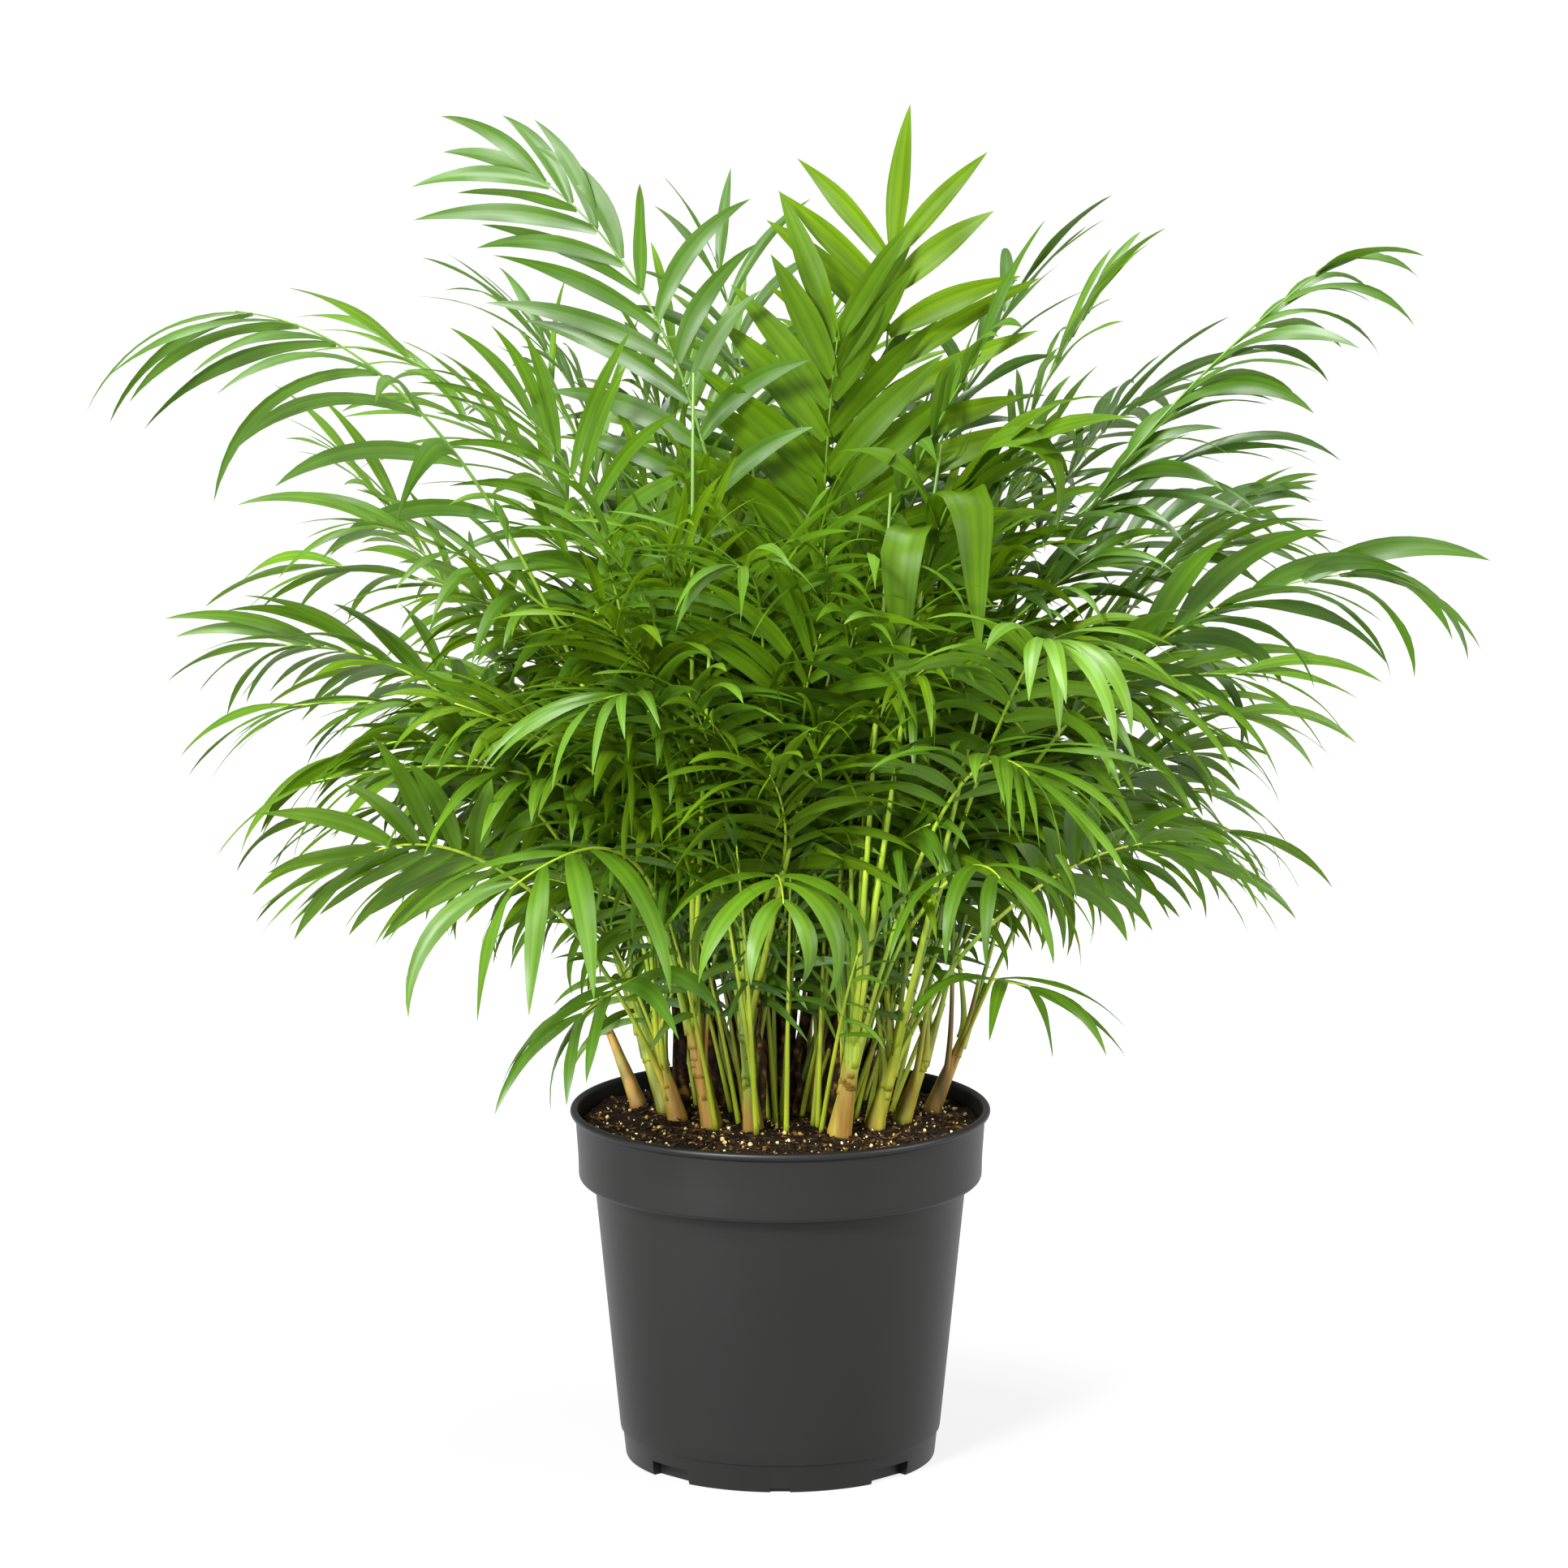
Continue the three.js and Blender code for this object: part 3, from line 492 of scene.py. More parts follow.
def seeded(seed):
    """The same series of numbers between 0 and 1 for the same seed"""
    factor, modulus = 16807, 2147483647
    state = seed
    while True:
        state = state * factor % modulus
        yield state / modulus


def either_way(random, most):
    """A value from -most to most"""
    return mix(-most, most, next(random))


def direction(azimuth, lean):
    """Direction that turns by azimuth from +X and leans from the upright"""
    out = math.sin(lean)
    return np.array([math.cos(azimuth) * out, math.sin(azimuth) * out, math.cos(lean)])


def sideways(azimuth):
    return direction(azimuth, math.pi / 2)


# The plant's rule, as its solids follow it

def grow_canes():
    random = seeded(FILL["seed"])
    return [Cane(name, at, r, CANE_H * mix(*CANE_HEIGHTS, next(random))) for name, at, r in CANES]


def by_name(canes):
    return {cane.name: cane for cane in canes}


def reach(lean):
    """How far from the foot of the crown a fill frond reaches, by its lean in degrees"""
    return mix(*FILL["reach"], share_of(FILL["reach_leans"], lean))


def has_room(cane):
    named = [f for f in cane.fronds if not f.fill]
    return len(named) < MOST_GROUPS and len(cane.fronds) < FILL["per_cane"]


def nearest(canes, outward, share):
    """The cane that stands nearest to where a frond heads"""
    return min(canes, key=lambda c: math.dist(c.at, share * outward[:2]))


def plant_named(canes):
    for frond in named_fronds():
        by_name(canes)[frond.cane].fronds.append(frond)


def arched(rule, random, cane, azimuth, lean, length, pairs, tone, shorter=1, **held):
    """A frond by a rule of FILL or INNER. Its crest stands more upright than its tip."""
    foot = np.array([0, 0, FILL["foot_z"]])
    turn = either_way(random, rule["crest_turn"])
    rise = direction(azimuth + turn, math.radians(lean * rule["crest_lean"]))
    crest = foot + rise * length * rule["crest"]
    leaf = (mix(*rule["leaf_length"], next(random)) * shorter, mix(*rule["leaf_width"], next(random)))
    roll = either_way(random, rule["roll"])
    tip = foot + direction(azimuth, math.radians(lean)) * length
    return Frond(cane.name, crest, tip, pairs, leaf, roll, tone, wild=rule["wild"], **held)


def plant_fill(canes):
    """The fill fronds, the lowest first, each on the nearest cane that still has room"""
    random = seeded(FILL["seed"] + 1)
    for n in reversed(range(FILL["count"])):
        share = (n + 0.5) / FILL["count"]
        lean = mix(*FILL["leans"], math.sqrt(share)) + either_way(random, FILL["lean_spread"])
        azimuth = math.radians(mix(*FILL["azimuths"], n * GOLDEN_STEP % 1))
        length = reach(lean) * mix(*FILL["reach_share"], next(random))
        outward = direction(azimuth, math.radians(lean))
        cane = nearest(filter(has_room, canes), outward, FILL["cane_ring"])
        many, few = FILL["pairs"]
        pairs = few if lean > FILL["few_pairs_lean"] else many
        tone = FILL["tones"][n % len(FILL["tones"])]
        shorter = mix(1, FILL["low_leaf"], share_of(FILL["low_leans"], lean))
        cane.fronds.append(
            arched(FILL, random, cane, azimuth, lean, length, pairs, tone, shorter, fill=True))


def group_fronds(cane):
    """One group for each named frond, and the fill fronds together, each with its own root"""
    fill = [f for f in cane.fronds if f.fill]
    groups = [[f] for f in cane.fronds if not f.fill]
    most = FILL["most_in_group"]
    groups += [fill[i : i + most] for i in range(0, len(fill), most)]
    top = cane.axis(cane.height)

    def heading(group):
        x, y, _ = sum(f.crest - top for f in group)
        return math.atan2(y, x)

    groups.sort(key=heading)
    turn = 2 * math.pi / len(groups)
    start = sum(heading(group) - i * turn for i, group in enumerate(groups)) / len(groups)
    offset = max(LEAST_RING, ROOT_RING * cane.r) if len(groups) > 1 else 0
    for i, group in enumerate(groups):
        root = top + sideways(start + i * turn) * offset
        root[2] = top[2] + SEAT
        named = next((f.name for f in group if f.name), None)
        for frond in group:
            frond.root = root
            frond.node = f"frond_{named}" if named else f"fronds_{cane.name}_{i}"
    cane.groups = groups


def near_line(points, start, end):
    """Least distance of any of the points from a straight line between two others"""
    line = end - start
    share = np.clip((points - start) @ line / (line @ line), 0, 1)
    return np.linalg.norm(points - start - share[:, None] * line, axis=1).min()


def is_clear(points, frond, settled, canes):
    """True where a rib keeps clear of the ribs of other groups and of the other canes"""
    others = [rib for root, rib in settled if root is not frond.root]
    if others:
        others = np.concatenate(others)
        squares = (points**2).sum(1)[:, None] + (others**2).sum(1) - 2 * points @ others.T
        if squares.min() < RIB_CLEAR**2:
            return False
    return all(
        near_line(points, cane.axis(0), cane.axis(cane.height)) >= cane.r + PETIOLE_R + CANE_CLEAR
        for cane in canes
        if frond not in cane.fronds
    )


def settle_ribs(fronds, canes):
    """Turns each frond a little about its root, or lifts its crest, until its rib is clear"""
    t = np.linspace(0, 1, RIB_SAMPLES + 1)
    settled = []
    for frond in fronds:
        crest, tip = frond.crest, frond.tip
        for rise, turn in ((rise, turn) for rise in RISES for turn in TURNS):
            angle = math.radians(turn)
            frond.crest = turned(crest - frond.root, Z, angle) + frond.root + Z * rise
            frond.tip = turned(tip - frond.root, Z, angle) + frond.root
            points = frond.points(t)
            if is_clear(points, frond, settled, canes):
                break
        settled.append((frond.root, points))


def plant_inner(canes):
    """Shorter fronds on the same canes, all round and at all leans"""
    random = seeded(INNER["seed"])
    inner = []
    for n in range(INNER["count"]):
        share = (n + 0.5) / INNER["count"]
        azimuth = math.radians(mix(*INNER["azimuths"], n * GOLDEN_STEP % 1))
        front = max(0, -math.sin(azimuth))
        lean = mix(*INNER["leans"], share ** INNER["leaning"]) * (1 - INNER["front_steeper"] * front)
        length = reach(lean) * mix(*INNER["reach_share"], next(random))
        length *= 1 - INNER["front_shorter"] * front
        outward = direction(azimuth, math.radians(lean))
        cane = nearest(canes, outward, mix(*INNER["cane_ring"], next(random)))
        # Fronds that head for the front take lighter tones, as painted light
        tones = INNER["front_painted_light_tones"] if front > INNER["front"] else INNER["tones"]
        tone = tones[n % len(tones)]
        frond = arched(INNER, random, cane, azimuth, lean, length, INNER["pairs"], tone, **INNER_HELD)
        ring = sideways(math.tau * next(random)) * cane.r * INNER["root_ring"]
        frond.root = cane.axis(cane.height * mix(*INNER["root_heights"], next(random))) + ring
        inner.append(frond)
    return inner


def plant_front(canes):
    """The fronds of FRONT, on top of their canes"""
    stands = by_name(canes)
    return [
        Frond(name, np.array(crest, float), np.array(tip, float), FRONT_PAIRS, leaf, 0, tone,
              root=stands[name].axis(stands[name].height), **FRONT_HELD)
        for name, crest, tip, leaf, tone in FRONT
    ]


def plant_shoots(rng):
    """Young shoots between the canes, each a thin stem with a few narrow leaflets"""
    shoots = []
    for _ in range(SHOOTS["count"]):
        out = sideways(rng.uniform(0, math.tau))
        root = out * rng.uniform(*SHOOTS["ring"]) + (*SHOOTS["middle"], SOIL_Z - SHOOTS["sunk"])
        height = rng.uniform(*SHOOTS["height"])
        lean = out * height * rng.uniform(*SHOOTS["lean"])
        lean = lean + rng.uniform(-SHOOTS["aside"], SHOOTS["aside"], 3) * (1, 1, 0)
        tip = root + Z * height + lean
        crest = mix(root, tip, 0.5) + Z * height * SHOOTS["arch"]
        length, width = SHOOTS["leaf"]
        leaf = (length * rng.uniform(*SHOOTS["longer"]), width * rng.uniform(*SHOOTS["wider"]))
        tone = SHOOTS["tones"][rng.integers(len(SHOOTS["tones"]))]
        roll = rng.uniform(-SHOOTS["roll"], SHOOTS["roll"])
        shoots.append(
            Frond("", crest, tip, SHOOTS["pairs"], leaf, roll, tone, wild=SHOOTS["wild"], root=root))
    return shoots


# Meshes from arrays

def make_mesh(name, points, quads, tris=(), uv=None):
    """A smooth mesh from points in millimetres and faces of four and three corners"""
    quads = np.asarray(quads, np.int32).reshape(-1, 4)
    tris = np.asarray(tris, np.int32).reshape(-1, 3)
    corners = np.concatenate([quads.ravel(), tris.ravel()])
    sizes = np.concatenate([np.full(len(quads), 4), np.full(len(tris), 3)])
    mesh = bpy.data.meshes.new(name)
    mesh.vertices.add(len(points))
    mesh.vertices.foreach_set("co", (np.asarray(points) * MM).astype(np.float32).ravel())
    mesh.loops.add(len(corners))
    mesh.loops.foreach_set("vertex_index", corners)
    mesh.polygons.add(len(sizes))
    mesh.polygons.foreach_set("loop_start", (np.cumsum(sizes) - sizes).astype(np.int32))
    mesh.update(calc_edges=True)
    if uv is not None:
        layer = mesh.uv_layers.new(name="leaf")
        layer.uv.foreach_set("vector", uv[corners].astype(np.float32).ravel())
    mesh.shade_smooth()
    return mesh


class Sheaf:
    """Points and faces of many small things that become one mesh"""

    def __init__(self):
        self.points, self.quads, self.tris, self.uv = [], [], [], []
        self.count = 0

    def add(self, points, quads=None, tris=None, uv=None):
        self.points.append(points)
        for kept, faces in ((self.quads, quads), (self.tris, tris)):
            if faces is not None:
                kept.append(np.asarray(faces) + self.count)
        if uv is not None:
            self.uv.append(uv)
        self.count += len(points)

    def mesh(self, name):
        quads, tris = (np.concatenate(f) if f else () for f in (self.quads, self.tris))
        uv = np.concatenate(self.uv) if self.uv else None
        return make_mesh(name, np.concatenate(self.points), quads, tris, uv)


def placed(name, data):
    """A new object in the scene"""
    made = bpy.data.objects.new(name, data)
    bpy.context.scene.collection.objects.link(made)
    return made


def piece(mesh, material, nodes):
    """A shown piece that stands in for CAD nodes, which it hides, with its material"""
    made = placed(mesh.name, mesh)
    mesh.materials.append(material)
    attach(made, "root")
    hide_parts(*nodes)
    return made


def ring_quads(rings, sides):
    """Quads between rings of points that close on themselves, outsides facing out"""
    k = np.arange(sides)
    after = (k + 1) % sides
    ring = np.arange(rings - 1)[:, None] * sides
    return np.stack([ring + k, ring + after, ring + sides + after, ring + sides + k], -1).reshape(-1, 4)


def end_fans(rings, sides):
    """Triangles from the first and the last of such rings to two points that follow them"""
    k = np.arange(sides)
    after = (k + 1) % sides
    top = (rings - 1) * sides
    first = np.full(sides, rings * sides)
    return np.concatenate([
        np.stack([first, after, k], -1),
        np.stack([first + 1, top + k, top + after], -1),
    ])


def add_tube(sheaf, middles, side, radii, sides, relief=0):
    """A closed tube round a line of points. relief is a share of the radius, ring by ring."""
    middles = np.asarray(middles)
    along = unit(np.gradient(middles, axis=0))
    across = unit(side - along * dot(side, along))
    upper = np.cross(along, across)
    angle = np.arange(sides) * math.tau / sides
    out = across[:, None] * np.cos(angle)[:, None] + upper[:, None] * np.sin(angle)[:, None]
    shape = np.ones((len(middles), sides)) + relief
    rings = middles[:, None] + out * (np.asarray(radii)[:, None] * shape)[..., None]
    points = np.concatenate([rings.reshape(-1, 3), middles[[0, -1]]])
    sheaf.add(points, ring_quads(len(middles), sides), end_fans(len(middles), sides))


# Leaflets

def leaf_profile(u, taper):
    """Width of a leaflet at shares of its length, as a share of its greatest width"""
    rising = 1 - LEAF_FOOT * np.clip(1 - u / LEAF_BELLY, 0, 1) ** 2
    falling = 1 - np.clip((u - LEAF_BELLY) / (1 - LEAF_BELLY), 0, 1) ** taper
    return rising * falling


def leaf_faces():
    """Quads and tip triangles of one leaflet, whose points run row by row"""
    columns = LEAF_ACROSS + 1
    row = np.arange(LEAF_STEPS - 1)[:, None] * columns
    k = np.arange(LEAF_ACROSS)
    quads = np.stack([row + k, row + k + 1, row + columns + k + 1, row + columns + k], -1)
    last = (LEAF_STEPS - 1) * columns
    tip = LEAF_STEPS * columns
    tris = np.stack([last + k, last + k + 1, np.full(LEAF_ACROSS, tip)], -1)
    return quads.reshape(-1, 4), tris


def bent_leaves(u, heading, length, bend, sway, between):
    """The leaflets' middle lines from their feet, and the directions along, beside and up there"""
    pitch = np.arcsin(np.clip(heading[:, 2], -1, 1))
    level = unit(heading * (1, 1, 0) + (1e-9, 0, 0))  # an upright leaflet heads for +X
    left = np.cross(Z, level)
    dip = (pitch[:, None] - bend[:, None] * np.interp(u, between, (0, 1)))[..., None]
    swing = (sway[:, None] * u)[..., None]
    ahead = level[:, None] * np.cos(swing) + left[:, None] * np.sin(swing)
    along = ahead * np.cos(dip) + Z * np.sin(dip)
    up = Z * np.cos(dip) - ahead * np.sin(dip)
    steps = (along[:, 1:] + along[:, :-1]) / 2 * (length / LEAF_STEPS)[:, None, None]
    middle = np.concatenate([0 * along[:, :1], np.cumsum(steps, 1)], 1)
    return middle, along, np.cross(Z, ahead), up


def leaf_pattern(u, s, length):
    """Places of the leaflets' points in their pattern: across it from 0 to 1, and along it"""
    shape = (len(length), LEAF_STEPS, LEAF_ACROSS + 1, 1)
    across = np.broadcast_to((s / 2 + 0.5)[..., None], shape)
    along = np.broadcast_to(u[:-1, None, None] * length[:, None, None, None] / PATTERN, shape)
    rows = np.concatenate([across, along], -1).reshape(len(length), -1, 2)
    tips = np.stack([np.full(len(length), 0.5), length / PATTERN], -1)[:, None]
    return np.concatenate([rows, tips], 1)


def add_leaves(sheaf, base, heading, across, hand, length, width, bend, sway, twist, fold, wave,
               between=(0, 1), taper=LEAF_TAPER):
    """Leaflets that leave their base along a heading and bend down. Each argument has one row
    for each leaflet, and the angles are in radians. between tells where along it a leaflet bends,
    and taper how full it stays towards its tip, with 1 for a straight taper."""
    u = np.linspace(0, 1, LEAF_STEPS + 1)
    middle, along, beside, up = bent_leaves(u, heading, length, bend, sway, between)
    middle = base[:, None] + middle
    part_beside = dot(across, beside[:, 0])[:, None]
    part_up = dot(across, up[:, 0])[:, None]
    wide = unit(beside * part_beside + up * part_up)
    upper = np.cross(wide, along) * hand[:, None, None]
    roll = (twist[:, None] * u)[..., None]
    cos, sin = np.cos(roll), np.sin(roll)
    wide, upper = wide * cos + upper * sin, upper * cos - wide * sin
    s = np.linspace(-1, 1, LEAF_ACROSS + 1) * hand[:, None, None]
    half = (width[:, None] / 2 * leaf_profile(u, taper))[..., None]
    crease = (fold[:, None] * (1 - UNFOLDING * u))[..., None]
    ripple = RIPPLE["depth"] * np.sin(wave[:, None] + RIPPLE["run"] * u)[..., None] * s
    out = half * s * np.cos(crease)
    down = half * (np.abs(s) * np.sin(crease) + ripple * np.abs(s))
    rows = middle[:, :, None] + wide[:, :, None] * out[..., None] - upper[:, :, None] * down[..., None]
    points = np.concatenate([rows[:, :-1].reshape(len(base), -1, 3), middle[:, -1:]], 1)
    quads, tris = leaf_faces()
    first = np.arange(len(base))[:, None, None] * points.shape[1]
    sheaf.add(
        points.reshape(-1, 3),
        (quads + first).reshape(-1, 4),
        (tris + first).reshape(-1, 3),
        leaf_pattern(u, s, length).reshape(-1, 2),
    )


def grow_leaves(frond, sheaf, rng):
    """Pairs of leaflets along the outer part of a frond's rib"""
    pairs = round(frond.pairs * frond.finer)
    share = np.repeat(np.linspace(0, 1, pairs), 2)
    hand = np.tile([1.0, -1.0], pairs)
    count = 2 * pairs
    if frond.end_leaf:
        share, hand, count = np.append(share, 1), np.append(hand, 1), count + 1

    def varied(name, wild=frond.wild):
        low, high = VARIED[name]
        middle, half = (low + high) / 2, (high - low) / 2 * wild
        return rng.uniform(middle - half, middle + half, count)

    t = np.clip(mix(*BLADE, share) + hand * STAGGER + varied("place"), 0, LAST_LEAF)
    along, side, upper = frond.sides(t)
    angle = np.radians(mix(*frond.angles, share**CLOSING) + varied("angle"))[:, None]
    lift = (frond.up + varied("lift"))[:, None]
    if frond.end_leaf:
        angle[-1] = lift[-1] = 0
    heading = unit(along * np.cos(angle) + side * hand[:, None] * np.sin(angle) + upper * lift)
    start, run = SWELL
    length = frond.leaf[0] * frond.longer * mix(LEAST_LENGTH, 1, np.sin(math.pi * (start + run * share)))
    length = length * varied("length") * (1 + frond.uneven * hand)
    width = frond.leaf[1] * frond.wide * mix(1, TIP_WIDTH, share) * varied("width", 1)
    pitch = np.arcsin(heading[:, 2])
    bend = math.radians(frond.bend) * mix(frond.upright_bend, 1, np.cos(pitch)) * varied("bend")
    across = unit(along - heading * dot(along, heading))
    if frond.end_leaf:
        length[-1] = frond.end_leaf
        across[-1] = side[-1]
    base = frond.points(t) + side * (hand * rib_radius(t) * 0.5)[:, None]
    add_leaves(
        sheaf, base, heading, across, hand, length, width, bend,
        sway=np.radians(varied("sway")),
        twist=np.radians(varied("twist")),
        fold=np.radians(varied("fold", 1)),
        wave=varied("wave", 1),
    )


def grow_broad(frond, sheaf, rng):
    """The young frond's few broad leaflets, some of which curl over towards the front"""
    for share, azimuth, pitch, length, width, bend, between, twist, taper in BROAD:
        t = [share]
        heading = direction(math.radians(azimuth), math.radians(90 - pitch))[None]
        side = unit(np.cross(Z, heading))
        add_leaves(
            sheaf, frond.points(t), heading, side, np.ones(1), np.array([length]), np.array([width]),
            np.radians([bend]), sway=np.radians(rng.uniform(*BROAD_SWAY, 1)),
            twist=np.radians([twist]), fold=np.radians(rng.uniform(*BROAD_FOLD, 1)),
            wave=rng.uniform(0, math.tau, 1), between=between, taper=taper,
        )


def rib_radius(t):
    return mix(PETIOLE_R * SLIM, RIB_TIP_R, np.asarray(t) ** RIB_TAPER)


def add_rib(frond, sheaf):
    t = np.linspace(SHEATH_END if frond.cane else 0, 1, RIB_STEPS + 1)
    _, side, _ = frond.sides(t)
    add_tube(sheaf, frond.points(t), side, rib_radius(t), RIB_SIDES)


# Canes

def fibres(angles, heights, rng):
    """Relief of a cane's sheaths: fine ribs along it, and oblique edges where one sheath ends"""
    relief = np.zeros((len(heights), len(angles)))
    for waves, depth in FIBRES:
        start = rng.uniform(0, math.tau)
        relief += depth * np.sin(waves * angles + start + FIBRE_TURN * heights[:, None])
    for edge in EDGES["at"]:
        middle = edge + rng.uniform(-EDGES["spread"], EDGES["spread"])
        turn = rng.uniform(0, math.tau)
        end = middle + EDGES["slant"] * np.cos(angles - turn)
        relief += EDGES["depth"] * (0.5 - 0.5 * np.tanh((heights[:, None] - end) * EDGES["sharp"]))
    return relief


def add_cane(cane, sheaf, rng):
    """The stem in its old sheaths, which swells a little at its foot"""
    heights = np.linspace(0, 1, CANE_STEPS + 1)
    middles = np.array([cane.axis(cane.height * h) for h in heights])
    middles[0, 2] -= CANE_SUNK
    radii = cane.r * np.interp(heights, *CANE_PROFILE)
    angles = np.arange(CANE_SIDES) * math.tau / CANE_SIDES
    add_tube(sheaf, middles, X, radii, CANE_SIDES, fibres(angles, heights, rng))


def add_sheath(cane, frond, sheaf, rng):
    """The foot of a petiole: it leaves its cane low down, as a sheath, and joins its rib"""
    low = cane.height * rng.uniform(*SHEATH["heights"])
    start = cane.axis(low)
    lean = cane.axis(low + 1) - start
    out = unit((frond.points([SHEATH["heads_for"]])[0] - start) * (1, 1, 0))
    start = start + out * cane.r * SHEATH["out"]
    end = frond.points([SHEATH_END])[0]
    reach_up = np.linalg.norm(end - start)
    heading = frond.tangents([SHEATH_END])[0]
    share = np.linspace(0, 1, SHEATH["steps"])
    t = share[:, None]
    middles = (
        (2 * t**3 - 3 * t**2 + 1) * start
        + (t**3 - 2 * t**2 + t) * lean * reach_up * SHEATH["upright"]
        + (3 * t**2 - 2 * t**3) * end
        + (t**3 - t**2) * heading * reach_up
    )
    slim = rib_radius(SHEATH_END)
    radii = np.interp(share, SHEATH["at"], [*(cane.r * part for part in SHEATH["radii"]), slim, slim])
    angles = np.arange(SHEATH["sides"]) * math.tau / SHEATH["sides"]
    ribs = np.sin(SHEATH["ribs"] * angles + rng.uniform(0, math.tau))
    add_tube(sheaf, middles, X, radii, SHEATH["sides"], SHEATH["depth"] * ribs * (1 - t))


def add_petioles(canes, sheaf):
    """Long petioles in front, whose blades lie deeper in the crown"""
    share = np.linspace(0, 1, RIB_STEPS + 1)
    for name, top in PETIOLES:
        cane = by_name(canes)[name]
        foot = cane.axis(cane.height * PETIOLE["foot"])
        turn = mix(foot, np.array(top), PETIOLE["turn"]) + PETIOLE["forward"]
        middles = bent_line(foot, turn, np.array(top), share[:, None])
        add_tube(sheaf, middles, X, mix(*PETIOLE["radii"], share), RIB_SIDES)


def stand_shading_stubs(rng):
    """Old brown sheaths that stand on the mix between the canes. Their dark brown also stands in as painted
    shade in the gaps there.
    """
    sheaf = Sheaf()
    steps, sides, aside, relief = (SHADE_STUBS[name] for name in ("steps", "sides", "aside", "relief"))
    share = np.linspace(0, 1, steps)
    for _ in range(SHADE_STUBS["count"]):
        out = sideways(rng.uniform(0, math.tau))
        foot = out * rng.uniform(*SHADE_STUBS["ring"]) + (*SHADE_STUBS["middle"], SOIL_Z - SHADE_STUBS["sunk"])
        height = rng.uniform(*SHADE_STUBS["height"])
        top = foot + Z * height + out * height * rng.uniform(*SHADE_STUBS["lean"])
        middles = mix(foot, top, share[:, None]) + rng.uniform(-aside, aside, (steps, 3))
        radii = rng.uniform(*SHADE_STUBS["r"]) * np.interp(share, *SHADE_STUBS["profile"])
        add_tube(sheaf, middles, X, radii, sides, rng.uniform(-relief, relief, (steps, sides)))
    # Dark sheaths, partly real old sheaths and partly painted shade between the canes
    piece(sheaf.mesh("old_sheaths"), bark_material("old_sheath"), ["cane_centre"])


# Materials

class Graph:
    """Nodes of one material. A socket given as a value is linked, and anything else is set."""

    def __init__(self, name):
        self.material = bpy.data.materials.new(name)
        self.material.use_nodes = True
        self.tree = self.material.node_tree
        self.tree.nodes.clear()

    def add(self, kind, inputs=None, out=0, **settings):
        made = self.tree.nodes.new("ShaderNode" + kind)
        for key, value in settings.items():
            setattr(made, key, value)
        for key, value in (inputs or {}).items():
            if isinstance(value, bpy.types.NodeSocket):
                self.tree.links.new(value, made.inputs[key])
            else:
                made.inputs[key].default_value = value
        return made.outputs[out]

    def place(self, scale=(1, 1, 1)):
        where = self.add("TexCoord", out="Object")
        return self.add("Mapping", {"Vector": where, "Scale": scale})

    def noise(self, scale, detail=3.0, stretch=(1, 1, 1), vector=None):
        vector = vector or self.place(stretch)
        return self.add("TexNoise", {"Vector": vector, "Scale": scale, "Detail": detail})

    def ramp(self, value, *stops):
        """Colours at places between 0 and 1"""
        made = self.tree.nodes.new("ShaderNodeValToRGB")
        while len(made.color_ramp.elements) < len(stops):
            made.color_ramp.elements.new(0.5)
        for element, (place, colour) in zip(made.color_ramp.elements, stops):
            element.position = place
            element.color = (*colour, 1)
        self.tree.links.new(value, made.inputs[0])
        return made.outputs[0]

    def between(self, value, low, high):
        """A value between 0 and 1 brought to between low and high"""
        return self.add("MapRange", {"Value": value, "To Min": low, "To Max": high})

    def blend(self, share, a, b, blend_type="MIX"):
        """Two colours mixed by a share, where 0, 6, 7 and 2 are the node's sockets for colours"""
        inputs = {0: share, 6: a, 7: b}
        return self.add("Mix", inputs, out=2, data_type="RGBA", blend_type=blend_type)

    def times(self, a, b):
        return self.blend(1.0, a, b, "MULTIPLY")

    def rise(self, low, high):
        """0 up to a height in metres, and 1 from another"""
        height = self.add("SeparateXYZ", {"Vector": self.add("TexCoord", out="Object")}, out="Z")
        return self.add("MapRange", {"Value": height, "From Min": low, "From Max": high})

    def coat(self, colour, roughness, relief, specular=0.5):
        """An opaque surface. relief is a pattern, its strength and its depth in mm."""
        pattern, strength, depth = relief
        bump = {"Height": pattern, "Strength": strength, "Distance": depth * MM}
        return self.add("BsdfPrincipled", {
            "Base Color": colour,
            "Roughness": roughness,
            "Specular IOR Level": specular,
            "Normal": self.add("Bump", bump),
        })

    def finish(self, surface):
        output = self.tree.nodes.new("ShaderNodeOutputMaterial")
        self.tree.links.new(surface, output.inputs["Surface"])
        return self.material


def scaled(colour, share):
    return tuple(c * share for c in colour)


def midrib(g, where):
    """Tint that is paler along the middle of a leaflet"""
    x = g.add("SeparateXYZ", {"Vector": where}, out="X")
    off = g.add("Math", {0: x, 1: 0.5}, operation="SUBTRACT")
    off = g.add("Math", {0: off}, operation="ABSOLUTE")
    return g.ramp(off, (0.02, (1.3, 1.22, 1.1)), (0.09, (1, 1, 1)))


